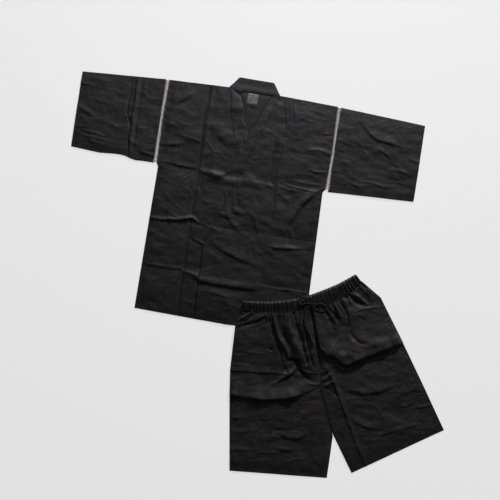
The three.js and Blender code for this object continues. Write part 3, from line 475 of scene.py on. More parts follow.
BAND_TOP = [(-208, 46), (-145, 31), (-78, 23), (4, 24.5), (64, 35), (118, 47), (175, 66)]

# Legs: how far their fronts puff up, overlap at the centre, sink at the hem, tuck in at the
# waist and reach below the band, and how strong their crumple is
LEG_PUFF = 2.2
SEAT_PUFF = 2.2
CENTRE_OVERLAP = 1.1
LEG_HEM_DROP = 1.0
WAIST_TUCK = 1.3
BAND_TUCK = 2.5
LEG_CRUMPLE = 1.25

# Heights of the short and the long gathers below the waistband
SHORT_GATHERS = 3.6
LONG_GATHERS = 3

# Waistband: its run and height in cloth, where its upper roll starts and how far it swells
BAND_RUN = 600
BAND_DEEP = 40
ROLL_FROM = 0.84
ROLL_HEIGHT = 6.2
ROLL_GATHERS = 3
MIDDLE_GATHERS = 1.6
FOOT_GATHERS = 2.8
BACK_GATHERS = 0.5

# Stitches: distance of the legs' rows from the hem, and the thread's radius, rise and sink
HEM_STITCH = 24
STITCH_RADIUS = 0.35
STITCH_RISE = 0.3
STITCH_SINK = 0.02
STITCH_SIDES = 5

# Drawstring, from the knot outwards: p, q and height
KNOT = (4, 0, 19)
KNOT_SPREAD = (1.75, 1.3, 1.3)
CORD_SIDES = 12
KNOT_SIDES = 10
BRAID = {"twist": 2600, "flutes": 4, "flute_depth": 0.05}
LOOP_RIGHT = [(12.2, -1.4, 18.6), (20, -6, 18.4), (32, -8.5, 18.3), (44, -9.5, 17.6),
              (54, -15, 17.2), (57.5, -25, 17.7), (51, -34, 17), (40, -34.5, 17.3),
              (28, -28, 18.6), (19, -17, 18.4), (11.4, -7.2, 18.6)]
LOOP_LEFT = [(3, 7.2, 18.5), (-1, 15, 18.1), (-8, 21.5, 16.4), (-17, 23, 16), (-25, 18, 16.8),
             (-28, 9.5, 18.2), (-24, 2.5, 17.9), (-15, -0.5, 18.2), (-4.6, 0.6, 18.5)]
TAIL_LEFT = [(-2.6, -5.8, 18.2), (-8, -13, 17.5), (-15, -22, 16.8), (-23, -34, 16.4),
             (-30, -46, 16.9), (-34, -58, 18.2), (-33, -70, 18.2), (-30.5, -82, 17.6),
             (-29, -94, 16.8), (-28.5, -106, 16.5), (-28, -118, 16.2)]
TAIL_RIGHT = [(4, -7.2, 18.3), (-1, -15, 18), (-6, -25, 16.9), (-13, -36, 17.3),
              (-19, -48, 17.2), (-20, -62, 17.5), (-17, -76, 18.5), (-13.5, -90, 19.2),
              (-11, -104, 19.1), (-8.5, -119, 18.7), (-6, -134, 17.3)]

# Cloth is pressed down below the drawstring: the area where it is looked for, the gap that
# stays below the cord, and how high the cloth banks up beside it
STRING_SIDE = 75
STRING_LOW = -150
STRING_HIGH = 40
STRING_GAP = 0.15
STRING_BANK = 6

# Camera: straight above, turned so that the jacket leans as photographed
VIEW_CENTRE = (65, -523)
VIEW_UP = (-0.153, 0.988)
VIEW_WIDTH = 1660
VIEW_HEIGHT = 2.2
SENSOR = 36
CLIP_START = 0.1
CLIP_END = 100

# Key and fill lights past the upper edge: how far off they stand, then each one's elevation,
# turn to the right, size and strength
LIGHT_DISTANCE = 7
KEY_ELEVATION = 19.5
KEY_ASIDE = 0.38
KEY_WIDTH = 0.61
KEY_POWER = 890
KEY_TONE = (1.0, 0.95, 0.92)
FILL_ELEVATION = 60
FILL_ASIDE = 0.6
FILL_ANGLE = 50
FILL_STRENGTH = 0.12

# Softbox: its place up, to the right of and above the middle of the view, size and power
SOFTBOX_UP = 1.25
SOFTBOX_RIGHT = 0.1
SOFTBOX_HIGH = 1.3
SOFTBOX_WIDTH = 1.0
SOFTBOX_POWER = 11.5
SOFTBOX_TONE = (0.72, 0.81, 1.0)

# Glow of the surroundings and of the table, half the table's width, and its drop below the set
ROOM_GLOW = 0.06
TABLE_GLOW = 0.66
TABLE_HALF = 6
TABLE_DROP = 0.1

# Grids of the cloths: segments across, or round a sleeve, and along. Their first and last rows
# lie close to the edge, in millimetres
BACK_GRID = (90, 110)
UNDER_GRID = (120, 210)
OVER_GRID = (130, 230)
COLLAR_GRID = (24, 170)
SLEEVE_GRID = (240, 100)
LABEL_GRID = (36, 36)
LEG_GRIDS = (("back", 50, 70), ("front", 120, 190))
BAND_GRIDS = (("back", 220, 12), ("front", 560, 30))
EDGE_ROW = 0.8

# Rough width and length of each cloth, which the edge rows are measured by
PANEL_SIZE = (300, 775)
COLLAR_WIDTH = 45
SLEEVE_LENGTH = 280
LEG_SIZE = (260, 530)

# Noise: the size of its lattice, its seed, and what each use adds to the seed
LATTICE = 64
NOISE_SEED = 41
BODY_SEED = 5
BODY_CRUMPLE_SEED = 11
LEG_SEED = 21
LEG_CRUMPLE_SEED = 25
SLEEVE_SEED = 31
SLEEVE_CRUMPLE_SEED = 35
NECK_SEED = 61

# How far the lines of creases wander and their heights vary, and how deep a crease sinks before its
# painted shade shows
CREASE_BEND = 1.9
CREASE_UNEVEN = 0.25
CREASE_SHADE_FROM = 0.5

# Heights of the crumple's lumps and of its raised and sunk wrinkles
BROAD_LUMPS = 1.7
MIDDLE_LUMPS = 1.1
FINE_LUMPS = 0.4
RAISED_WRINKLES = 0.7
SUNK_WRINKLES = 0.6

# Faint creases of the hidden layers: highest rise
FAINT_RISE = 0.35

# How far in from an edge the painted edge shade reaches
EDGE_SHADE_REACH = 3.5

# Unevenness of the colours, in lumps for each metre across and along, and the slant of the plies
SLUBS = (26, 620)
WARPS = (780, 18)
MOTTLES = (38, 52)
THREADS = (30, 290)
GRAINS = (110, 150)
PLIES = (300, 180)
PLY_SLANT = 38

# Values of a noise between which the colours change
NOISE_LOW = 0.3
NOISE_HIGH = 0.7

# Finishes: gloss, sheen, and strength and depth of the threads' relief
CLOTH_GLOSS = 0.22
CLOTH_SHEEN = 0.05
CLOTH_SHEEN_ROUGH = 0.45
CLOTH_RELIEF = (0.55, 0.00016)
THREAD_ROUGH = 0.75
THREAD_GLOSS = 0.12
THREAD_SHEEN = 0.04
THREAD_RELIEF = (0.6, 0.0003)
TABLE_ROUGH = 0.9
TABLE_GLOSS = 0.1


def smooth(share):
    """Soft step from 0 to 1."""
    share = np.clip(share, 0, 1)
    return share * share * (3 - 2 * share)


def step(value, start, end):
    """Soft step from 0 at start to 1 at end."""
    return smooth((value - start) / (end - start))


def mix(first, last, share):
    return first + (last - first) * share


def lookup(rows, place, column=1):
    """Column of a table at places along its first column, straight between the rows."""
    ordered = sorted(rows)
    return np.interp(place, [row[0] for row in ordered], [row[column] for row in ordered])


def wander(x, y, seed):
    """Smooth noise from -1 to 1, with lumps one unit across."""
    lattice = np.random.default_rng(NOISE_SEED + seed).uniform(-1, 1, (LATTICE, LATTICE))
    column, row = np.floor(x).astype(int), np.floor(y).astype(int)
    s, t = smooth(x - column), smooth(y - row)
    left, right = column % LATTICE, (column + 1) % LATTICE
    low, high = row % LATTICE, (row + 1) % LATTICE
    lower = mix(lattice[low, left], lattice[low, right], s)
    upper = mix(lattice[high, left], lattice[high, right], s)
    return mix(lower, upper, t)


def creases(rows, u, v, seed):
    """Sum of the creases, each uneven along its run."""
    total = np.zeros_like(u)
    bent_u = u + CREASE_BEND * wander(u / 30, v / 30, seed)
    bent_v = v + CREASE_BEND * wander(u / 26 + 9, v / 26, seed + 1)
    uneven = 1 + CREASE_UNEVEN * wander(u / 21, v / 21 + 3, seed + 2)
    for crease in rows:
        line = np.array(crease.line, float)
        reach = max(crease.left, crease.right)
        low, high = line.min(axis=0) - reach, line.max(axis=0) + reach
        close = (bent_u > low[0]) & (bent_u < high[0]) & (bent_v > low[1]) & (bent_v < high[1])
        x, y = bent_u[close], bent_v[close]
        nearest = np.full_like(x, np.inf)
        width = np.ones_like(x)
        height = np.zeros_like(x)
        for start, end in zip(line, line[1:]):
            du, dv, rise = end - start
            share = ((x - start[0]) * du + (y - start[1]) * dv) / (du * du + dv * dv)
            share = np.clip(share, 0, 1)
            off_x, off_y = x - start[0] - share * du, y - start[1] - share * dv
            away = np.hypot(off_x, off_y)
            closer = away < nearest
            on_left = du * off_y - dv * off_x > 0
            nearest = np.where(closer, away, nearest)
            width = np.where(closer, np.where(on_left, crease.left, crease.right), width)
            height = np.where(closer, start[2] + share * rise, height)
        across = np.clip(nearest / width, 0, 1)
        total[close] += height * (1 - across) ** 2 * (1 + 2 * across * (1 - crease.sharp))
    return total * uneven


def crease_shade(rows, u, v, seed):
    """Painted shade in pressed creases: how deep a place lies in one, from 0 to 1."""
    return np.clip(-creases(rows, u, v, seed) - CREASE_SHADE_FROM, 0, 1)


def faint(relief, share):
    """A share of the relief, upwards only, as a hidden layer shows it."""
    return np.clip(share * relief, 0, FAINT_RISE)


def wrinkles(u, v, seed):
    """Thin wrinkles that run along the zero lines of a noise, each on its own patch."""
    line = np.abs(wander(u, v, seed))
    patch = step(wander(u * 0.7 + 5, v * 0.5, seed + 1), -0.15, 0.45)
    return np.clip(1 - line * 4.2, 0, 1) ** 1.4 * patch


def crumple(u, v, seed):
    """Light unevenness of well-used cotton and linen, a little longer across the cloth."""
    u = u + 9 * wander(u / 60, v / 45, seed + 6)
    v = v + 7 * wander(u / 50, v / 60, seed + 7)
    broad = BROAD_LUMPS * wander(u / 84, v / 58, seed)
    middle = MIDDLE_LUMPS * wander(u / 33 + 7, v / 19, seed + 1)
    fine = FINE_LUMPS * wander(u / 13, v / 8 + 3, seed + 2)
    raised = RAISED_WRINKLES * wrinkles(u / 52, v / 27, seed + 3)
    sunk = SUNK_WRINKLES * wrinkles(v / 31, u / 37, seed + 9)
    return broad + middle + fine + (raised - sunk)


def pillow(lines, place):
    """Soft pillow between neighbouring fold lines."""
    index = np.clip(np.searchsorted(lines, place), 1, len(lines) - 1)
    lines = np.array(lines, float)
    share = (place - lines[index - 1]) / (lines[index] - lines[index - 1])
    return np.sin(np.pi * np.clip(share, 0, 1)) ** PILLOW_CURVE


def body_rise(u, v):
    """How far the pillows raise the jacket's fronts, less at the edges and under the shorts."""
    side = step(np.minimum(u + SIDE, SIDE - 3 - u), *PILLOW_SIDES)
    top = step(-v, *PILLOW_TOP)
    hem = mix(1, PILLOW_HEM_SHARE, step(-v, *PILLOW_HEM))
    free = 1 - step(u, *PILLOW_COVER_U) * step(-v, *PILLOW_COVER_V)
    soft = PILLOW_HEIGHT * pillow(PILLOW_U, u) * pillow(PILLOW_V, v)
    return soft * side * top * hem * free


def over_rise(u, v):
    """How far the over front is raised to clear the band and front beneath it."""
    edge_v, edge_u = COVER_EDGE[0]
    below = np.maximum(u - lookup(COVER_EDGE, v), 0)
    above = np.hypot(np.maximum(u - edge_u, 0), v - edge_v)
    beyond = np.where(v < edge_v, below, above)
    low = mix(1, 0.5, step(-v, 735, 772))
    return OVER_EXTRA * low * (1 - step(beyond, COVER_REACH, COVER_FADE))


def side_pucker(u, v):
    """Puckers on the body beside the laced armholes."""
    near = np.minimum(u + 287, 283 - u)
    shade = step(-v, 4, 14) * step(v, -300, -280)
    turn = 2 * np.pi * v / PUCKER_PITCH
    wave = np.sin(turn) + 0.6 * np.sin(turn / 2.7 + 1)
    return PUCKER_HEIGHT * wave * (1 - step(near, 2, 30)) * shade


def body_fine(u, v):
    """Small creases and crumple of the fronts, calmer at the edges and under the shorts."""
    side = mix(FINE_SIDES_SHARE, 1, step(np.minimum(u + SIDE, SIDE - u), *FINE_SIDES))
    free = 1 - FINE_COVER_LOSS * step(u, *FINE_COVER_U) * step(-v, *FINE_COVER_V)
    hem = mix(1, FINE_HEM_SHARE, step(-v, *FINE_HEM))
    relief = creases(BODY_CREASES, u, v, BODY_SEED) + crumple(u, v, BODY_CRUMPLE_SEED)
    return relief * side * free * step(-v, *FINE_TOP) * hem


def hem_drop(v):
    """How far the fronts sink on to the back at the hem."""
    return HEM_DROP * step(-v, *HEM_DROP_SPAN)


def neck_fold(v):
    """Height of the fronts' layer, which comes down to the back at the shoulder fold."""
    return UNDER_BASE * (1 - np.clip((v - FOLD_LOW) / (FOLD_HIGH - FOLD_LOW), 0, 1))


def fronts_relief(u, v):
    """Relief that both fronts share, so that neither comes through the other."""
    relief = body_rise(u, v) + body_fine(u, v) + side_pucker(u, v)
    return np.maximum(relief, LOWEST_RELIEF)


def under_top(u, v, thick=CLOTH_TOP):
    """Upper face of what lies directly on the back."""
    return neck_fold(v) + fronts_relief(u, v) + thick - hem_drop(v)


def over_top(u, v, thick=CLOTH_TOP):
    """Upper face of the over front and its collar."""
    return neck_fold(v) + fronts_relief(u, v) + over_rise(u, v) + thick - hem_drop(v)


def back_top(u, v):
    """Upper face of the back, which rises to the collar's edges in the neck opening."""
    inside = np.minimum(u - lookup(NECK_LEFT, v), lookup(NECK_RIGHT, v) - u)
    neck = step(inside, -1, 5) * step(-v, 7, 13) * (1 - step(-v, 175, 195))
    uneven = NECK_RISE + NECK_UNEVEN * crumple(u * 1.3, v * 1.3, NECK_SEED)
    pressed_folds = faint(creases(BODY_CREASES, u, v, BODY_SEED), 0.5)
    return BACK_TOP + pressed_folds + neck * np.clip(uneven, NECK_LOWEST, NECK_HIGHEST)


def shorts_to_jacket(p, q):
    """Where a place on the shorts lies on the jacket."""
    cos, sin = math.cos(SHORTS_TURN), math.sin(SHORTS_TURN)
    return SHORTS_U + p * cos - q * sin, SHORTS_V + p * sin + q * cos


def lift_at(p, q):
    """How far a place on the shorts is raised to lie over the jacket's corner."""
    u, v = shorts_to_jacket(p, q)
    beyond = np.hypot(np.maximum(u - SIDE, 0), np.maximum(-LENGTH - v, 0))
    return SHORTS_LIFT * (1 - np.clip((beyond - LIFT_REACH) / (LIFT_FADE - LIFT_REACH), 0, 1))


def curve(points, share):
    """Places at shares from 0 to 1 of a centripetal Catmull-Rom curve."""
    points = np.array(points, float)
    points = np.vstack([2 * points[0] - points[1], points, 2 * points[-1] - points[-2]])
    count = len(points) - 3
    place = np.clip(np.asarray(share, float), 0, 1) * count
    index = np.minimum(place.astype(int), count - 1)
    t = (place - index)[..., None]
    a, b, c, d = (points[index + k] for k in range(4))
    ab, bc, cd = (np.linalg.norm(y - x, axis=-1, keepdims=True) ** 0.5
                  for x, y in ((a, b), (b, c), (c, d)))
    start = ((b - a) / ab - (c - a) / (ab + bc) + (c - b) / bc) * bc
    end = ((c - b) / bc - (d - b) / (bc + cd) + (d - c) / cd) * bc
    return (b * (2 * t**3 - 3 * t**2 + 1) + start * (t**3 - 2 * t**2 + t)
            + c * (3 * t**2 - 2 * t**3) + end * (t**3 - t**2))


def gather(place, count, seed=3):
    """Uneven gathers along the waist: their height, 0 in the furrows, and a random share."""
    chance = np.random.default_rng(NOISE_SEED + seed)
    edges = np.concatenate([[0], np.cumsum(chance.uniform(0.45, 1.55, count))])
    edges = edges / edges[-1]
    index = np.clip(np.searchsorted(edges, place) - 1, 0, count - 1)
    share = (place - edges[index]) / (edges[index + 1] - edges[index])
    size, length = chance.uniform(0.45, 1, count)[index], chance.uniform(0, 1, count)[index]
    return size * np.sin(np.pi * np.clip(share, 0, 1)) ** 0.7, length


def leg_plan(side, share, depth):
    """Plan place of a leg's cloth, by share from the outseam in and depth below the waist."""
    left = side == "left"
    outer_q = np.array([getattr(row, side) for row in LEG_ROWS], float)
    inner_q = np.array([row.inner for row in LEG_ROWS], float)
    if not left:
        inner_q[-1] += INSEAM_RIGHT_SHORT
    depths = outer_q[0] - outer_q
    outer = np.interp(depth, depths, outer_q)
    inner = np.interp(depth, depths, inner_q)
    nudge = -GAP / 2 if left else GAP / 2
    outer_p = lookup(OUTER_LEFT if left else OUTER_RIGHT, outer)
    inner_p = lookup(CENTRE_LEFT if left else CENTRE_RIGHT, inner) + nudge
    fade = 1 - step(depth, 0, SAG_FADE)
    along_band = share / 2 if left else 1 - share / 2
    edge = curve(BAND_LOW, along_band)
    end = curve(BAND_LOW, 0.0 if left else 1.0)
    centre = curve(BAND_LOW, 0.5)
    chord_p = mix(end[0], centre[0], share)
    chord_q = mix(end[1], centre[1], share)
    close = CENTRE_OVERLAP * step(share, 0.9, 1) * (1 - step(-inner, 430, 452))
    inner_p = inner_p + (close if left else -close)
    p = mix(outer_p, inner_p, share) + (edge[:, 0] - chord_p) * fade
    q = mix(outer, inner, share) + (edge[:, 1] - chord_q) * fade
    return p, q + BAND_TUCK * (1 - step(depth, 0, 12))


def leg_reach(side):
    """How far a leg's hem lies below the waist, along its outseam."""
    return getattr(LEG_ROWS[0], side) - getattr(LEG_ROWS[-1], side)


def leg_gathers(side, share, depth, count):
    """Gathers from the waistband into a leg: their height, and the painted shade in their furrows
    and below the band.
    """
    place = share / 2 if side == "left" else 1 - share / 2
    place = place + 0.006 * wander(depth / 30, place * 20, 8)
    crest, length = gather(place, count)
    fade = np.exp(-depth / mix(9, 34, length ** 2))
    short = SHORT_GATHERS * crest * fade
    # Painted shade in the furrows of the short gathers
    furrow_shade = (1 - step(crest, 0.05, 0.4)) * fade
    # Painted shadow of the waistband over the top of the leg, of random length
    band_shadow = 0.9 * (1 - step(depth, mix(0, 9, length), mix(5, 26, length)))
    crest, length = gather(place, count // 2, 6)
    fade = np.exp(-depth / mix(14, 60, length)) * step(depth, 2, 24)
    long = LONG_GATHERS * crest * fade
    # Painted shade in the furrows of the long gathers
    long_furrow_shade = 0.8 * (1 - step(crest, 0.05, 0.35)) * fade
    return short + long, np.maximum.reduce([furrow_shade, long_furrow_shade, band_shadow])


def leg_rise(side, share, depth, p, q, count):
    """How far the front of a leg rises above its layer."""
    reach = leg_reach(side)
    hem = step(depth, reach - 30, reach - 2)
    seat = SEAT_PUFF * step(share, 0.3, 0.5) * (1 - step(depth, 150, 235))
    soft = LEG_PUFF * np.sin(np.pi * share) ** 0.5 * (1 - 0.9 * hem) + seat
    seam = mix(0.15, 1, step(share, 0, 0.1))
    centre = mix(1, 0.4, step(share, 0.92, 1))
    puckers = leg_gathers(side, share, depth, count)[0]
    folded = creases(LEG_CREASES, p, q, LEG_SEED) * (1 - 0.4 * hem)
    small = LEG_CRUMPLE * crumple(p, q, LEG_CRUMPLE_SEED) * (1 - 0.6 * hem)
    small = small * mix(1, 0.2, np.clip(folded / 6, 0, 1))
    calm = mix(0.3, 1, step(share, 0, 0.05)) * mix(0.5, 1, step(1 - share, 0, 0.04))
    meet = 0.9 * (1 - step(1 - share, 0, 0.02))
    edge = mix(0.45, 1, step(share, 0, 0.04)) * mix(0.5, 1, step(1 - share, 0, 0.03))
    return soft * seam * centre + folded * edge + puckers + small * calm - meet


def cord_paths():
    """Fine centrelines of the four drawstring runs, in the shorts' plan and height."""
    shares = np.linspace(0, 1, 90)
    return {name: curve(route, shares) for name, route in (
        ("loop_left", LOOP_LEFT), ("loop_right", LOOP_RIGHT),
        ("tail_left", TAIL_LEFT), ("tail_right", TAIL_RIGHT))}


def pressed(p, q, top, radius):
    """Keeps the cloth's upper face below the drawstring that lies on it."""
    top = top.copy()
    close = (np.abs(p) < STRING_SIDE) & (q < STRING_HIGH) & (q > STRING_LOW)
    near_p, near_q, near_top = p[close], q[close], top[close]
    for path in cord_paths().values():
        for x, y, z in path:
            away = np.hypot(near_p - x, near_q - y)
            bank = smooth((away - radius * 0.7) / (radius * 2.6)) ** 1.5
            limit = z - radius - STRING_GAP + STRING_BANK * bank
            near_top = np.minimum(near_top, np.where(away < radius * 3, limit, np.inf))
    top[close] = near_top
    return top


def leg_top(side, share, depth, sizes):
    """Plan place and height of the upper face of a leg's front."""
    p, q = leg_plan(side, share, depth)
    reach = leg_reach(side)
    top = lift_at(p, q) + UNDER_BASE + CLOTH_TOP
    rise = leg_rise(side, share, depth, p, q, sizes.gathers)
    drop = LEG_HEM_DROP * step(depth, reach - 22, reach - 2)
    tuck = WAIST_TUCK * (1 - step(depth, 2, 6))
    top = top + np.maximum(rise, LOWEST_RELIEF) - drop
    return p, q, pressed(p, q, top, sizes.cord / MM / 2) - tuck


def run_along(places):
    """Distance of each place from the first, along their line."""
    steps = np.linalg.norm(np.diff(places, axis=0), axis=1)
    return np.concatenate([[0], np.cumsum(steps)])


def to_row(u, v, z):
    """Places on the jacket, in millimetres, as row-frame points in metres."""
    return np.stack([u + SHIFT[0], v + SHIFT[1], z], axis=-1) * MM


def shorts_row(p, q, z):
    return to_row(*shorts_to_jacket(p, q), z)


def dense_ends(share, count, length):
    """Draws the first and last row of a grid close to its edge, for a crisp edge."""
    edge = 1 / count
    close = min(EDGE_ROW / length, edge)
    return np.interp(share, [0, edge, 1 - edge, 1], [0, close, 1 - close, 1])


def grid_object(name, columns, rows, place, closed=False):
    """A cloth grid bent by place(s, t), which gives points, cloth places and painted shade.

    s and t run from 0 to 1 across and up the grid. The cloth places go to the UV map, and
    the painted shade along the edges and in pressed creases, furrows and below the waistband
    to attributes."""
    mesh = bpy.data.meshes.new(name)
    grid = bmesh.new()
    bmesh.ops.create_grid(grid, x_segments=columns, y_segments=rows, size=0.5)
    grid.to_mesh(mesh)
    grid.free()
    flat = np.empty(len(mesh.vertices) * 3)
    mesh.vertices.foreach_get("co", flat)
    s, t, _ = flat.reshape(-1, 3).T + 0.5
    points, weave, wear, hollow = place(s, t)
    mesh.vertices.foreach_set("co", points.reshape(-1))
    corners = np.empty(len(mesh.loops), np.int32)
    mesh.loops.foreach_get("vertex_index", corners)
    uv = mesh.uv_layers.new(name="cloth")
    uv.data.foreach_set("uv", weave[corners].reshape(-1))
    # Painted shade along the edges, and in creases, furrows and below the waistband, for the
    # material
    for title, values in (("wear", wear), ("hollow", hollow)):
        attribute = mesh.attributes.new(title, "FLOAT", "POINT")
        attribute.data.foreach_set("value", values.astype(np.float32))
    mesh.update()
    if closed:
        shape = bmesh.new()
        shape.from_mesh(mesh)
        bmesh.ops.remove_doubles(shape, verts=shape.verts, dist=1e-6)
        bmesh.ops.recalc_face_normals(shape, faces=shape.faces)
        shape.to_mesh(mesh)
        shape.free()
    else:
        normals = np.empty(len(mesh.polygons) * 3)
        mesh.polygons.foreach_get("normal", normals)
        if normals.reshape(-1, 3)[:, 2].sum() < 0:
            mesh.flip_normals()
    mesh.shade_smooth()
    piece = bpy.data.objects.new(name, mesh)
    bpy.context.collection.objects.link(piece)
    return piece


def thicken(piece, wall):
    """Gives a cloth its wall, below the face that was shaped."""
    solid = piece.modifiers.new("cloth thickness", "SOLIDIFY")
    solid.thickness = wall
    solid.offset = -1
    return piece


def tube_object(name, path, radius, sides, twist=0.0, flutes=0, flute_depth=0.0):
    """A cord along a fine path in metres, with capped ends and its UV map in metres."""
    path = np.asarray(path, float)
    lengths = run_along(path)
    tangents = np.gradient(path, axis=0)
    tangents /= np.linalg.norm(tangents, axis=1, keepdims=True)
    aside = np.cross(tangents, [0, 0, 1.0])
    aside /= np.maximum(np.linalg.norm(aside, axis=1, keepdims=True), 1e-9)
    above = np.cross(aside, tangents)
    last = len(path) - 1

    def place(s, t):
        index = np.rint(t * last).astype(int)
        angle = 2 * np.pi * s
        turn = twist * lengths[index]
        swell = 1 + flute_depth * np.cos(flutes * angle + turn)
        reach = (radius * swell)[:, None]
        offset = aside[index] * np.cos(angle)[:, None] + above[index] * np.sin(angle)[:, None]
        weave = np.stack([s * 2 * np.pi * radius, lengths[index]], axis=-1)
        return path[index] + offset * reach, weave, np.zeros_like(s), np.zeros_like(s)

    piece = grid_object(name, sides, last, place, closed=True)
    shape = bmesh.new()
    shape.from_mesh(piece.data)
    rims = [edge for edge in shape.edges if edge.is_boundary]
    bmesh.ops.holes_fill(shape, edges=rims, sides=0)
    bmesh.ops.recalc_face_normals(shape, faces=shape.faces)
    shape.to_mesh(piece.data)
    shape.free()
    piece.data.shade_smooth()
    return piece


def finish_piece(piece, material, nodes=()):
    """Puts on the finish and says which body and CAD nodes the piece stands for."""
    piece.data.materials.append(material)
    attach(piece, BODY)
    if nodes:
        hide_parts(*nodes)


def near_edge(*distances):
    """From 1 at an edge to 0 some millimetres inside it."""
    return 1 - step(np.minimum.reduce(distances), 0, EDGE_SHADE_REACH)


def new_material(name):
    """A material, its node tree and its shader."""
    material = bpy.data.materials.new(name)
    material.use_nodes = True
    tree = material.node_tree
    return material, tree, tree.nodes["Principled BSDF"]


def cloth_places(tree):
    """Places on the cloth or thread, from the piece's own UV map."""
    uv = tree.nodes.new("ShaderNodeUVMap")
    uv.uv_map = "cloth"
    return uv.outputs["UV"]


def attribute_node(tree, name):
    """A share from 0 to 1 that the piece's mesh carries."""
    attribute = tree.nodes.new("ShaderNodeAttribute")
    attribute.attribute_name = name
    return attribute.outputs["Fac"]


def noise_node(tree, source, lumps, detail, rough):
    """Noise stretched along the cloth, by how many lumps lie in a metre each way."""
    mapping = tree.nodes.new("ShaderNodeMapping")
    mapping.inputs["Scale"].default_value = (*lumps, 1)
    noise = tree.nodes.new("ShaderNodeTexNoise")
    noise.inputs["Scale"].default_value = 1
    noise.inputs["Detail"].default_value = detail
    noise.inputs["Roughness"].default_value = rough
    tree.links.new(source, mapping.inputs["Vector"])
    tree.links.new(mapping.outputs["Vector"], noise.inputs["Vector"])
    return noise.outputs["Fac"]


def ramp_node(tree, source, low, high, start, end):
    """Turns values from low to high into values from start to end."""
    ramp = tree.nodes.new("ShaderNodeMapRange")
    ramp.inputs["From Min"].default_value = low
    ramp.inputs["From Max"].default_value = high
    ramp.inputs["To Min"].default_value = start
    ramp.inputs["To Max"].default_value = end
    tree.links.new(source, ramp.inputs["Value"])
    return ramp.outputs["Result"]


def uneven_node(tree, noise, spread):
    """Darkens and lightens by up to a share of the colour, as the noise goes."""
    return ramp_node(tree, noise, NOISE_LOW, NOISE_HIGH, 1 - spread, 1 + spread)


def math_node(tree, kind, *sources):
    """Product, sum or maximum of values, taken in their order."""
    total = sources[0]
    for source in sources[1:]:
        node = tree.nodes.new("ShaderNodeMath")
        node.operation = kind
        tree.links.new(total, node.inputs[0])
        tree.links.new(source, node.inputs[1])
        total = node.outputs["Value"]
    return total


def bands_node(tree, source, direction, pitch, distortion, detail=2.0, detail_scale=1.0):
    """Threads side by side, one for each pitch in metres."""
    wave = tree.nodes.new("ShaderNodeTexWave")
    wave.wave_type = "BANDS"
    wave.bands_direction = direction
    wave.inputs["Scale"].default_value = 2 * math.pi / (20 * pitch)
    wave.inputs["Distortion"].default_value = distortion
    wave.inputs["Detail"].default_value = detail
    wave.inputs["Detail Scale"].default_value = detail_scale
    tree.links.new(source, wave.inputs["Vector"])
    return wave.outputs["Fac"]


def link_colour(tree, shader, colour, shade):
    """Colours the shader by one colour that the shade darkens and lightens."""
    tone = tree.nodes.new("ShaderNodeVectorMath")
    tone.operation = "SCALE"
    tone.inputs[0].default_value = colour[:3]
    tree.links.new(shade, tone.inputs["Scale"])
    tree.links.new(tone.outputs["Vector"], shader.inputs["Base Color"])


def link_bump(tree, shader, height, strength, distance):
    """Relief of the threads, whose full height is the distance in metres."""
    bump = tree.nodes.new("ShaderNodeBump")
    bump.inputs["Strength"].default_value = strength
    bump.inputs["Distance"].default_value = distance
    tree.links.new(height, bump.inputs["Height"])
    tree.links.new(bump.outputs["Normal"], shader.inputs["Normal"])


def cloth_material(name, colour, pitch, roughness):
    """Slub-weave cotton and linen: uneven crosswise threads, with painted shade at edges and in
    furrows.
    """
    material, tree, shader = new_material(name)
    place = cloth_places(tree)
    slub = noise_node(tree, place, SLUBS, 3, 0.6)
    warp = noise_node(tree, place, WARPS, 2, 0.5)
    mottle = noise_node(tree, place, MOTTLES, 3, 0.55)
    thread = noise_node(tree, place, THREADS, 2, 0.6)
    grain = noise_node(tree, place, GRAINS, 2, 0.6)
    # Painted shade along the cloth's edges, broken up by the slubs
    edge = math_node(tree, "MULTIPLY", attribute_node(tree, "wear"), slub)
    # The colour carries painted shade: darker along the edges and in creases, furrows and below the
    # waistband
    shade = math_node(
        tree, "MULTIPLY",
        ramp_node(tree, slub, NOISE_LOW, 0.72, 0.45, 1.65),
        uneven_node(tree, warp, 0.18),
        uneven_node(tree, mottle, 0.23),
        ramp_node(tree, edge, 0.1, 0.6, 1.0, 0.5),
        uneven_node(tree, thread, 0.38),
        uneven_node(tree, grain, 0.36),
        ramp_node(tree, attribute_node(tree, "hollow"), 0, 1, 1, 0.25))
    link_colour(tree, shader, colour, shade)
    rough = ramp_node(tree, mottle, NOISE_LOW, NOISE_HIGH, roughness - 0.05, roughness + 0.06)
    tree.links.new(rough, shader.inputs["Roughness"])
    shader.inputs["Specular IOR Level"].default_value = CLOTH_GLOSS
    shader.inputs["Sheen Weight"].default_value = CLOTH_SHEEN
    shader.inputs["Sheen Roughness"].default_value = CLOTH_SHEEN_ROUGH
    warps, wefts = (bands_node(tree, place, way, pitch, 1.2, 1, 0.6) for way in ("X", "Y"))
    weave = math_node(tree, "MAXIMUM", warps, wefts)
    height = math_node(tree, "ADD", weave, ramp_node(tree, slub, NOISE_LOW, 0.75, 0, 1.6))
    link_bump(tree, shader, height, *CLOTH_RELIEF)
    return material


def thread_material(name, colour, pitch):
    """Twisted or braided yarn: bands that run round the thread at a slant."""
    material, tree, shader = new_material(name)
    place = cloth_places(tree)
    turn = tree.nodes.new("ShaderNodeMapping")
    turn.inputs["Rotation"].default_value = (0, 0, math.radians(PLY_SLANT))
    tree.links.new(place, turn.inputs["Vector"])
    ply = bands_node(tree, turn.outputs["Vector"], "Y", pitch, 0.4)
    shade = math_node(
        tree, "MULTIPLY",
        ramp_node(tree, ply, 0, 1, 0.72, 1.12),
        ramp_node(tree, noise_node(tree, place, PLIES, 2, 0.6), NOISE_LOW, NOISE_HIGH, 0.85, 1.12))
    link_colour(tree, shader, colour, shade)
    shader.inputs["Roughness"].default_value = THREAD_ROUGH
    shader.inputs["Specular IOR Level"].default_value = THREAD_GLOSS
    shader.inputs["Sheen Weight"].default_value = THREAD_SHEEN
    link_bump(tree, shader, ply, *THREAD_RELIEF)
    return material


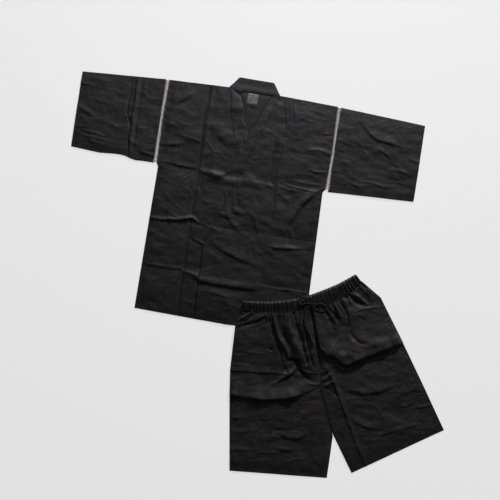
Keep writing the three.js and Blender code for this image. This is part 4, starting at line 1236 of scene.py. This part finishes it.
def material_of(kind, context):
    """The finish of that kind, made once."""
    name = f"jinbei_{kind}"
    if name in bpy.data.materials:
        return bpy.data.materials[name]
    tone = getattr(context.scene.jinbei_colours, kind)
    sizes = context.scene.jinbei_sizes
    thread_pitch = {"lacing": sizes.lacing_thread * 1.4, "drawstring": sizes.cord * 0.4,
                    "stitching": sizes.stitch * 0.3}
    if kind in thread_pitch:
        return thread_material(name, tone, thread_pitch[kind])
    tape = kind in ("label", "tab")
    pitch = sizes.weave * (0.6 if tape else 1)
    return cloth_material(name, tone, pitch, 0.7 if kind == "label" else 0.6)


def panel_place(left, right, hem, shoulder, top, grid):
    """Maps a grid to a jacket panel between two side edges, its hem and its upper edge."""
    def place(s, t):
        s = dense_ends(s, grid[0], PANEL_SIZE[0])
        t = dense_ends(t, grid[1], PANEL_SIZE[1])
        high = lookup(shoulder, s)
        low = lookup(hem, s)
        v = mix(low, high, t)
        u = mix(lookup(left, v), lookup(right, v), s)
        z = top(u, v)
        width = lookup(right, v) - lookup(left, v)
        # Painted shade along the panel's edges
        wear = near_edge(s * width, (1 - s) * width, v - low, high - v)
        # Painted shade in the pressed creases
        hollow = crease_shade(BODY_CREASES, u, v, BODY_SEED)
        return to_row(u, v, z), np.stack([u, v], axis=-1) * MM, wear, hollow
    return place


class JinbeiSizes(bpy.types.PropertyGroup):
    """Sizes of the cloth, thread and cord that a user would change"""

    cloth: bpy.props.FloatProperty(
        name="Cloth", description="Thickness of the cotton and linen cloth",
        default=0.0007, min=0.0003, max=0.001, precision=5, unit="LENGTH")
    collar: bpy.props.FloatProperty(
        name="Collar", description="Thickness of the doubled collar band",
        default=0.0013, min=0.0008, max=0.0018, precision=5, unit="LENGTH")
    weave: bpy.props.FloatProperty(
        name="Thread pitch", description="Distance between neighbouring threads of the weave",
        default=0.0011, min=0.0005, max=0.002, precision=5, unit="LENGTH")
    lacing_pitch: bpy.props.FloatProperty(
        name="Lacing pitch", description="Distance between crossings of the armhole lacing",
        default=0.008, min=0.006, max=0.014, precision=4, unit="LENGTH")
    lacing_thread: bpy.props.FloatProperty(
        name="Lacing thread", description="Diameter of the armhole lacing's thread",
        default=0.002, min=0.001, max=0.0025, precision=4, unit="LENGTH")
    cord: bpy.props.FloatProperty(
        name="Drawstring", description="Diameter of the drawstring",
        default=0.005, min=0.004, max=0.006, precision=4, unit="LENGTH")
    stitch: bpy.props.FloatProperty(
        name="Stitch", description="Length of a stitch in the visible seams",
        default=0.004, min=0.002, max=0.006, precision=4, unit="LENGTH")
    gathers: bpy.props.IntProperty(
        name="Gathers", description="Gathers along the front of the waistband",
        default=42, min=30, max=80)


class JinbeiColours(bpy.types.PropertyGroup):
    """Colours of the pieces and the floor"""

    jacket: bpy.props.FloatVectorProperty(
        name="Jacket", description="Black of the jacket's cloth", subtype="COLOR",
        size=3, default=(0.0063, 0.0055, 0.0055), min=0, max=1)
    shorts: bpy.props.FloatVectorProperty(
        name="Shorts", description="Black of the shorts' cloth", subtype="COLOR",
        size=3, default=(0.0083, 0.0074, 0.0079), min=0, max=1)
    lacing: bpy.props.FloatVectorProperty(
        name="Lacing", description="Natural cotton of the armhole lacing", subtype="COLOR",
        size=3, default=(0.28, 0.265, 0.235), min=0, max=1)
    drawstring: bpy.props.FloatVectorProperty(
        name="Drawstring", description="Black of the drawstring", subtype="COLOR",
        size=3, default=(0.006, 0.0058, 0.0065), min=0, max=1)
    label: bpy.props.FloatVectorProperty(
        name="Label", description="Grey of the bare neck label", subtype="COLOR",
        size=3, default=(0.080, 0.074, 0.071), min=0, max=1)
    tab: bpy.props.FloatVectorProperty(
        name="Tab", description="Black of the bare tab below the label", subtype="COLOR",
        size=3, default=(0.003, 0.003, 0.003), min=0, max=1)
    stitching: bpy.props.FloatVectorProperty(
        name="Stitching", description="Black of the sewing thread", subtype="COLOR",
        size=3, default=(0.006, 0.006, 0.0066), min=0, max=1)
    floor: bpy.props.FloatVectorProperty(
        name="Floor", description="Pale surface that the set lies on", subtype="COLOR",
        size=3, default=(0.16, 0.16, 0.16), min=0, max=1)


class JINBEI_OT_stage(bpy.types.Operator):
    """Adds the bright table, the soft lights and the camera above the set"""

    bl_idname = "jinbei.stage"
    bl_label = "Stage and camera"

    def execute(self, context):
        add_floor(context)
        add_lights(context)
        add_camera(context)
        return {"FINISHED"}


class JINBEI_OT_drawstring(bpy.types.Operator):
    """Adds the knot, the two loops and the two free tails of the drawstring"""

    bl_idname = "jinbei.drawstring"
    bl_label = "Drawstring"

    def execute(self, context):
        add_drawstring(context)
        return {"FINISHED"}


class JINBEI_OT_body(bpy.types.Operator):
    """Adds the back and the two crossed fronts of the jacket"""

    bl_idname = "jinbei.body"
    bl_label = "Jacket body"

    def execute(self, context):
        add_body(context)
        return {"FINISHED"}


class JINBEI_OT_collar(bpy.types.Operator):
    """Adds the two halves of the collar band"""

    bl_idname = "jinbei.collar"
    bl_label = "Collar"

    def execute(self, context):
        add_collars(context)
        return {"FINISHED"}


class JINBEI_OT_sleeves(bpy.types.Operator):
    """Adds the two sleeves as flattened tubes"""

    bl_idname = "jinbei.sleeves"
    bl_label = "Sleeves"

    def execute(self, context):
        add_sleeves(context)
        return {"FINISHED"}


class JINBEI_OT_lacing(bpy.types.Operator):
    """Adds the crossed lacing of both armholes, front and back"""

    bl_idname = "jinbei.lacing"
    bl_label = "Armhole lacing"

    def execute(self, context):
        add_lacing(context)
        return {"FINISHED"}


class JINBEI_OT_labels(bpy.types.Operator):
    """Adds the bare neck label and the small tab below it"""

    bl_idname = "jinbei.labels"
    bl_label = "Label and tab"

    def execute(self, context):
        add_labels(context)
        return {"FINISHED"}


class JINBEI_OT_legs(bpy.types.Operator):
    """Adds the front and back of both legs of the shorts"""

    bl_idname = "jinbei.legs"
    bl_label = "Legs of the shorts"

    def execute(self, context):
        add_legs(context)
        return {"FINISHED"}


class JINBEI_OT_waistband(bpy.types.Operator):
    """Adds the gathered front and back of the waistband"""

    bl_idname = "jinbei.waistband"
    bl_label = "Waistband"

    def execute(self, context):
        add_waistbands(context)
        return {"FINISHED"}


class JINBEI_OT_stitching(bpy.types.Operator):
    """Adds the visible rows of stitches on seams and hems"""

    bl_idname = "jinbei.stitching"
    bl_label = "Stitching"

    def execute(self, context):
        add_stitching(context)
        return {"FINISHED"}


class JINBEI_PT_panel(bpy.types.Panel):
    """Sizes, colours and pieces of the jinbei set"""

    bl_idname = "JINBEI_PT_panel"
    bl_label = "Jinbei set"
    bl_space_type = "VIEW_3D"
    bl_region_type = "UI"
    bl_category = "Jinbei"

    def draw(self, context):
        for group in (context.scene.jinbei_sizes, context.scene.jinbei_colours):
            box = self.layout.box()
            for name in group.__annotations__:
                box.prop(group, name)
        for operator in OPERATORS:
            self.layout.operator(operator.bl_idname)


OPERATORS = (JINBEI_OT_stage, JINBEI_OT_drawstring, JINBEI_OT_stitching, JINBEI_OT_body,
             JINBEI_OT_collar, JINBEI_OT_sleeves, JINBEI_OT_lacing, JINBEI_OT_labels,
             JINBEI_OT_legs, JINBEI_OT_waistband)
CLASSES = (JinbeiSizes, JinbeiColours, *OPERATORS, JINBEI_PT_panel)


def add_floor(context):
    mesh = bpy.data.meshes.new("floor")
    shape = bmesh.new()
    bmesh.ops.create_grid(shape, x_segments=2, y_segments=2, size=TABLE_HALF)
    bmesh.ops.translate(shape, verts=shape.verts, vec=(0, 0, -TABLE_DROP * MM))
    shape.to_mesh(mesh)
    shape.free()
    floor = bpy.data.objects.new("floor", mesh)
    context.collection.objects.link(floor)
    material, _, shader = new_material("jinbei_floor")
    shader.inputs["Base Color"].default_value = (*context.scene.jinbei_colours.floor, 1)
    shader.inputs["Roughness"].default_value = TABLE_ROUGH
    shader.inputs["Specular IOR Level"].default_value = TABLE_GLOSS
    shader.inputs["Emission Color"].default_value = (1, 1, 1, 1)
    shader.inputs["Emission Strength"].default_value = TABLE_GLOW
    mesh.materials.append(material)


def view_frame():
    """Middle of the view on the table, with the right and up directions of the picture."""
    up = Vector((*VIEW_UP, 0)).normalized()
    return Vector(to_row(*VIEW_CENTRE, 0.0)), Vector((up.y, -up.x, 0)), up


def slanted(elevation, aside):
    """Way to a lamp past the upper edge of the picture."""
    _, right, up = view_frame()
    way = (up + right * aside).normalized() * math.cos(math.radians(elevation))
    way.z = math.sin(math.radians(elevation))
    return way * LIGHT_DISTANCE


def disk_lamp(name, width, power, tone):
    """A round soft lamp."""
    lamp = bpy.data.lights.new(name, "AREA")
    lamp.shape = "DISK"
    lamp.size = width
    lamp.energy = power
    lamp.color = tone
    return lamp


def place_lamp(context, lamp, way):
    """Stands a lamp that way from the middle of the view, and turns it to shine there."""
    light = bpy.data.objects.new(lamp.name, lamp)
    light.rotation_mode = "QUATERNION"
    light.rotation_quaternion = way.to_track_quat("Z", "Y")
    light.location = view_frame()[0] + way
    context.collection.objects.link(light)


def add_lights(context):
    """Warm key, faint fill, and a broad cool softbox that leaves the lower part darker."""
    world = bpy.data.worlds.new("studio")
    world.use_nodes = True
    room = world.node_tree.nodes["Background"]
    room.inputs["Color"].default_value = (1, 1, 1, 1)
    room.inputs["Strength"].default_value = ROOM_GLOW
    context.scene.world = world
    key = disk_lamp("key", KEY_WIDTH, KEY_POWER, KEY_TONE)
    place_lamp(context, key, slanted(KEY_ELEVATION, KEY_ASIDE))
    fill = bpy.data.lights.new("fill", "SUN")
    fill.energy = FILL_STRENGTH
    fill.angle = math.radians(FILL_ANGLE)
    place_lamp(context, fill, slanted(FILL_ELEVATION, FILL_ASIDE))
    _, right, up = view_frame()
    softbox = disk_lamp("softbox", SOFTBOX_WIDTH, SOFTBOX_POWER, SOFTBOX_TONE)
    above = Vector((0, 0, SOFTBOX_HIGH))
    place_lamp(context, softbox, up * SOFTBOX_UP + right * SOFTBOX_RIGHT + above)


def add_camera(context):
    data = bpy.data.cameras.new("camera")
    data.sensor_width = SENSOR
    data.lens = SENSOR * VIEW_HEIGHT / (VIEW_WIDTH * MM)
    data.clip_start = CLIP_START
    data.clip_end = CLIP_END
    camera = bpy.data.objects.new("camera", data)
    context.collection.objects.link(camera)
    centre, right, up = view_frame()
    above = Vector((0, 0, 1))
    turn = Matrix((right, up, above)).transposed()
    camera.matrix_world = Matrix.Translation(centre + above * VIEW_HEIGHT) @ turn.to_4x4()
    context.scene.camera = camera
    context.scene.view_settings.view_transform = "Standard"


def add_drawstring(context):
    sizes = context.scene.jinbei_sizes
    material = material_of("drawstring", context)
    radius = sizes.cord / 2
    for name, route in cord_paths().items():
        path = shorts_row(*route.T)
        piece = tube_object(f"string_{name}", path, radius * 0.97, CORD_SIDES, **BRAID)
        finish_piece(piece, material, [f"drawstring_{name}"])
    angle = np.linspace(0, 2 * np.pi, 121)
    p = KNOT[0] + KNOT_SPREAD[0] * (np.sin(angle) + 2 * np.sin(2 * angle))
    q = KNOT[1] + KNOT_SPREAD[1] * (np.cos(angle) - 2 * np.cos(2 * angle))
    z = KNOT[2] - KNOT_SPREAD[2] * np.sin(3 * angle)
    knot = tube_object("string_knot", shorts_row(p, q, z), radius * 0.85, KNOT_SIDES, **BRAID)
    finish_piece(knot, material, ["drawstring_knot"])


def seam_rows():
    """Rows of stitches on the jacket: name, layer and the places that they run through."""
    return (
        ("collar_over", over_top, COLLAR_TOP,
         [(83, -8), (66, -58), (28, -171), (-12, -290), (-73, -473), (-88, -517)]),
        ("front_over_side", over_top, CLOTH_TOP,
         [(89, -8), (72, -58), (34, -171), (-6, -290), (-67, -473), (-84, -523),
          (-82, -640), (-80, -768)]),
        ("collar_under", under_top, COLLAR_TOP,
         [(-82, -6), (-73, -20), (-60, -100), (-43, -156), (-18, -205)]),
        ("front_under_side", under_top, CLOTH_TOP,
         [(-91, -6), (-80, -22), (-67, -101), (-50, -158), (-25, -211)]),
        ("hem_over", over_top, CLOTH_TOP,
         [(-84, -752), (20, -758), (150, -754), (280, -750)]),
        ("hem_under", under_top, CLOTH_TOP, [(-282, -750), (-190, -753), (-96, -756)]),
    )


def stitch_wave(run, pitch):
    """The sewing thread's height on the cloth: it dips in once for each stitch."""
    return STITCH_RISE * np.cos(2 * np.pi * run / pitch) - STITCH_SINK


def stitch_path(points, pitch):
    """Plan places and runs of a row of stitches, four for each stitch."""
    points = np.array(points, float)
    distance = run_along(points)
    run = np.linspace(0, distance[-1], int(distance[-1] / pitch * 4) + 1)
    return np.interp(run, distance, points[:, 0]), np.interp(run, distance, points[:, 1]), run


def add_stitches(name, path, context):
    """One row of stitches along a path in metres."""
    piece = tube_object(f"stitches_{name}", path, STITCH_RADIUS * MM, STITCH_SIDES)
    finish_piece(piece, material_of("stitching", context))


def add_stitching(context):
    sizes = context.scene.jinbei_sizes
    pitch = sizes.stitch / MM
    for name, top, thick, points in seam_rows():
        u, v, run = stitch_path(points, pitch)
        add_stitches(name, to_row(u, v, top(u, v, thick) + stitch_wave(run, pitch)), context)
    for side in ("left", "right"):
        share = np.linspace(0.02, 0.985, 260)
        depth = np.full_like(share, leg_reach(side) - HEM_STITCH)
        p, q, z = leg_top(side, share, depth, sizes)
        run = run_along(np.stack([p, q], axis=-1))
        add_stitches(f"leg_hem_{side}", shorts_row(p, q, z + stitch_wave(run, pitch)), context)


def add_body(context):
    sizes = context.scene.jinbei_sizes
    material = material_of("jacket", context)
    for name, left, right, hem, shoulder, top, grid, rests in (
            ("back", LEFT_EDGE, RIGHT_EDGE, BACK_HEM, BACK_SHOULDER, back_top, BACK_GRID, ()),
            ("front_under", LEFT_EDGE, UNDER_SEAM, UNDER_HEM, UNDER_SHOULDER, under_top,
             UNDER_GRID, ["back"]),
            ("front_over", OVER_SEAM, RIGHT_EDGE, OVER_HEM, OVER_SHOULDER, over_top,
             OVER_GRID, ["front_under", "back"])):
        place = panel_place(left, right, hem, shoulder, top, grid)
        piece = thicken(grid_object(f"cloth_{name}", *grid, place), sizes.cloth)
        finish_piece(piece, material, [name])


def collar_relief(name, u, v, across, along, width):
    """How far a collar band lies below its height: rolled at its edges and where it folds."""
    inside = np.minimum(across, width - across)
    ripple = 0.25 * np.sin(along / 5.2) * (1 - step(across, 1, 9))
    edge = 0.35 * (1 - step(inside, 0, 2))
    inner = step(across, width - 14, width - 1)
    neck = 1.1 * (1 - step(np.abs(u), 36, 48)) * inner
    if name == "collar_under":
        crossing = 0.5 * (1 - step(along, 0, 5)) + 0.3 * inner * step(-v, 10, 30)
    else:
        crossing = 0.7 * step(across, width - 24, width - 3) * step(-v, 10, 60)
    return ripple - edge - neck - crossing


def add_collars(context):
    sizes = context.scene.jinbei_sizes
    material = material_of("jacket", context)
    for name, stations, top, rests in (
            ("collar_under", COLLAR_UNDER, under_top, ["back", "front_under"]),
            ("collar_over", COLLAR_OVER, over_top, ["back", "front_over"])):
        table = np.array(stations, float)
        run = run_along((table[:, :2] + table[:, 2:]) / 2)

        def place(s, t):
            s = dense_ends(s, COLLAR_GRID[0], COLLAR_WIDTH)
            along = dense_ends(t, COLLAR_GRID[1], run[-1]) * run[-1]
            outer_u, outer_v, inner_u, inner_v = (np.interp(along, run, row) for row in table.T)
            u = mix(outer_u, inner_u, s)
            v = mix(outer_v, inner_v, s)
            width = np.hypot(outer_u - inner_u, outer_v - inner_v)
            z = top(u, v, COLLAR_TOP) + collar_relief(name, u, v, s * width, along, width)
            weave = np.stack([along, s * width], axis=-1) * MM
            # Painted shade along the band's edges
            wear = near_edge(np.minimum(s, 1 - s) * width)
            # Painted shade in the pressed creases goes with the band's places
            return to_row(u, v, z), weave, wear, crease_shade(BODY_CREASES, u, v, BODY_SEED)

        piece = thicken(grid_object(f"cloth_{name}", *COLLAR_GRID, place), sizes.collar)
        finish_piece(piece, material, [name])


def sleeve_front(u, v, top, bottom):
    """Height of a sleeve's front above its back."""
    share = (top - v) / (top - bottom)
    edge = smooth(np.minimum(share, 1 - share) / 0.12)
    small = (creases(SLEEVE_CREASES, u, v, SLEEVE_SEED)
             + crumple(u, v, SLEEVE_CRUMPLE_SEED))
    armhole = np.minimum(np.abs(u - SLEEVE_LEFT[0][0]), np.abs(u - SLEEVE_RIGHT[0][0]))
    wave = np.sin(2 * np.pi * v / SLEEVE_PUCKER_PITCH)
    pucker = SLEEVE_PUCKER_HEIGHT * wave * (1 - step(armhole, 1, 22))
    return (SLEEVE_PUFF + pucker) * edge + small * mix(0.3, 1, edge)


def add_sleeves(context):
    sizes = context.scene.jinbei_sizes
    material = material_of("jacket", context)
    for name, rings in (("sleeve_left", SLEEVE_LEFT), ("sleeve_right", SLEEVE_RIGHT)):
        start, end = rings[0][0] * SLEEVE_START, rings[-1][0]

        def place(s, t):
            u = mix(start, end, dense_ends(t, SLEEVE_GRID[1], SLEEVE_LENGTH))
            top = lookup(rings, u)
            bottom = lookup(rings, u, 2)
            around = 2 * np.pi * s
            v = mix(top, bottom, (1 - np.cos(around)) / 2)
            front = s <= 0.5
            rise = np.maximum(sleeve_front(u, v, top, bottom), LOWEST_SLEEVE)
            open_up = np.minimum(np.abs(np.sin(around)) * 5, 1) ** 0.6
            open_down = np.minimum(np.abs(np.sin(around)) * 9, 1)
            z = np.where(front, mix(SLEEVE_FOLD, rise + UNDER_BASE + CLOTH_TOP, open_up),
                         SLEEVE_FOLD - SLEEVE_UNDER * open_down)
            weave = np.stack([u, np.where(front, v, 2 * bottom - v)], axis=-1) * MM
            # Painted shade along the sleeve's ends and folded edges
            wear = near_edge(np.abs(u - end), np.abs(u - start), v - bottom, top - v)
            # Painted shade in the sleeve's pressed creases
            return to_row(u, v, z), weave, wear, crease_shade(SLEEVE_CREASES, u, v, SLEEVE_SEED)

        piece = thicken(grid_object(f"cloth_{name}", *SLEEVE_GRID, place, closed=True), sizes.cloth)
        finish_piece(piece, material, [name])


def add_lacing(context):
    sizes = context.scene.jinbei_sizes
    material = material_of("lacing", context)
    for side, edges in (("left", LACE_LEFT), ("right", LACE_RIGHT)):
        start, end = edges[0][0], edges[-1][0]
        cells = round((start - end) / (sizes.lacing_pitch / MM))
        run = np.linspace(0, cells, cells * LACE_STEPS + 1)
        v = start - run * (start - end) / cells
        low = lookup(edges, v) - LACE_OVERLAP
        high = lookup(edges, v, 2) + LACE_OVERLAP
        swing = 2 * np.abs((run % 1) - 0.5)
        part = LACE_PART * np.cos(2 * np.pi * (run * 2 + 0.5))
        part = np.where(np.floor(run * 2) % 2 == 0, part, -part)
        for layer, base in (("back", LACE_TOP), ("front", UNDER_BASE + LACE_TOP)):
            threads = []
            for number, (share, rise) in enumerate(((swing, -part), (1 - swing, part))):
                u = mix(low, high, smooth(share) * 0.35 + share * 0.65)
                path = to_row(u, v, base + rise)
                threads.append(tube_object(f"lace_{side}_{layer}_{number}", path,
                                           sizes.lacing_thread / 2, LACE_SIDES, **LACE_PLY))
            piece = join(threads, f"lacing_{side}_{layer}")
            finish_piece(piece, material, [f"lacing_{side}_{layer}"])


def join(pieces, name):
    """One piece of several that are made alike."""
    shape = bmesh.new()
    for piece in pieces:
        shape.from_mesh(piece.data)
    kept = pieces[0]
    shape.to_mesh(kept.data)
    shape.free()
    kept.data.shade_smooth()
    for piece in pieces[1:]:
        mesh = piece.data
        bpy.data.objects.remove(piece)
        bpy.data.meshes.remove(mesh)
    kept.name = name
    return kept


def add_labels(context):
    for name, kind, middle_u, middle_v, width, height in LABEL_ROWS:
        def place(s, t):
            u = middle_u + (s - 0.5) * width
            v = middle_v + (t - 0.5) * height
            inside = np.minimum(np.minimum(s, 1 - s) * width, np.minimum(t, 1 - t) * height)
            bow = LABEL_BOW * np.sin(np.pi * s) * np.sin(np.pi * t)
            z = back_top(u, v) + LABEL_LIFT + bow - LABEL_PRESS * (1 - step(inside, 0, 1.5))
            # Faint painted shade along the label's edges
            label_edge_shade = near_edge(inside) * 0.3
            return to_row(u, v, z), np.stack([u, v], axis=-1) * MM, label_edge_shade, np.zeros_like(s)

        piece = thicken(grid_object(f"cloth_{name}", *LABEL_GRID, place), LABEL_WALL * MM)
        finish_piece(piece, material_of(kind, context), [name])


def add_legs(context):
    sizes = context.scene.jinbei_sizes
    material = material_of("shorts", context)
    for side in ("left", "right"):
        reach = leg_reach(side)
        for layer, columns, rows in LEG_GRIDS:
            def place(s, t):
                share = dense_ends(s, columns, LEG_SIZE[0])
                depth = (1 - dense_ends(t, rows, LEG_SIZE[1])) * reach
                if layer == "front":
                    p, q, z = leg_top(side, share, depth, sizes)
                else:
                    p, q = leg_plan(side, share, depth)
                    pressed_folds = faint(creases(LEG_CREASES, p, q, LEG_SEED), 0.4)
                    z = lift_at(p, q) + BACK_TOP + pressed_folds
                width = 200 + depth * 0.35
                weave = np.stack([share * width, -depth], axis=-1) * MM
                # Painted shade along the leg's edges
                wear = near_edge(share * width, (1 - share) * width, reach - depth)
                # Painted shade along the centre seam's valley, in the gathers' furrows, below the
                # waistband and in pressed creases
                seam = 0.7 * (1 - step((1 - share) * width, 0.3, 2.2))
                furrow_shade = leg_gathers(side, share, depth, sizes.gathers)[1]
                hollow = np.maximum.reduce([crease_shade(LEG_CREASES, p, q, LEG_SEED), seam, furrow_shade])
                return shorts_row(p, q, z), weave, wear, hollow

            name = f"leg_{layer}_{side}"
            piece = thicken(grid_object(f"cloth_{name}", columns, rows, place), sizes.cloth)
            finish_piece(piece, material, [name])


def band_top(layer, p, q, t, crest, sizes):
    """Upper face of the waistband, whose front rolls over at its upper edge."""
    swell = crest * np.sin(np.pi * t)
    if layer == "back":
        return lift_at(p, q) + BACK_BAND_TOP + BACK_GATHERS * swell
    past = np.clip((t - ROLL_FROM) / (1 - ROLL_FROM), 0, 1)
    roll = np.clip(t / ROLL_FROM, 0, 1) * np.sqrt(1 - 0.98 * past ** 2)
    base = lift_at(p, q) + BACK_BAND_WALL + BAND_GAP + FRONT_BAND_TOP
    z = base + roll * (ROLL_HEIGHT + ROLL_GATHERS * crest) + MIDDLE_GATHERS * swell
    z = z + FOOT_GATHERS * crest * (1 - step(t, 0, 0.4))
    return pressed(p, q, z, sizes.cord / MM / 2)


def add_waistbands(context):
    sizes = context.scene.jinbei_sizes
    material = material_of("shorts", context)
    for layer, columns, rows in BAND_GRIDS:
        def place(s, t):
            low, top = curve(BAND_LOW, s), curve(BAND_TOP, s)
            lean = 0.004 * wander(s * 30, t * 1.5, 14)
            crest, length = gather(s + lean, sizes.gathers)
            small = gather(s + 0.006 * wander(s * 40, t * 2, 17), sizes.gathers * 2, 9)[0]
            crest = 0.9 * crest + 0.35 * small * (1 - t)
            over = t * (1 + 0.05 * (crest - 0.5))
            p = mix(low[:, 0], top[:, 0], over)
            q = mix(low[:, 1], top[:, 1], over)
            z = band_top(layer, p, q, t, crest, sizes)
            weave = np.stack([s * BAND_RUN, t * BAND_DEEP], axis=-1) * MM
            # Painted shade along the band's edges
            wear = near_edge(t * BAND_DEEP, (1 - t) * BAND_DEEP)
            # Painted shade in the furrows between gathers and on the band's lower part, below where
            # the light reaches
            lit_from = mix(0.4, 0.95, length)
            shade = np.maximum(1 - step(crest, 0.05, 0.6), 1 - step(t, lit_from - 0.3, lit_from))
            return shorts_row(p, q, z), weave, wear, shade

        name = f"waistband_{layer}"
        piece = thicken(grid_object(f"cloth_{name}", columns, rows, place), sizes.cloth)
        finish_piece(piece, material, [name])


def register():
    for cls in CLASSES:
        bpy.utils.register_class(cls)
    bpy.types.Scene.jinbei_sizes = bpy.props.PointerProperty(type=JinbeiSizes)
    bpy.types.Scene.jinbei_colours = bpy.props.PointerProperty(type=JinbeiColours)


def unregister():
    del bpy.types.Scene.jinbei_colours
    del bpy.types.Scene.jinbei_sizes
    for cls in reversed(CLASSES):
        bpy.utils.unregister_class(cls)


def main():
    register()
    for operator in OPERATORS:
        group, name = operator.bl_idname.split(".")
        getattr(getattr(bpy.ops, group), name)()


if __name__ == "__main__":
    main()
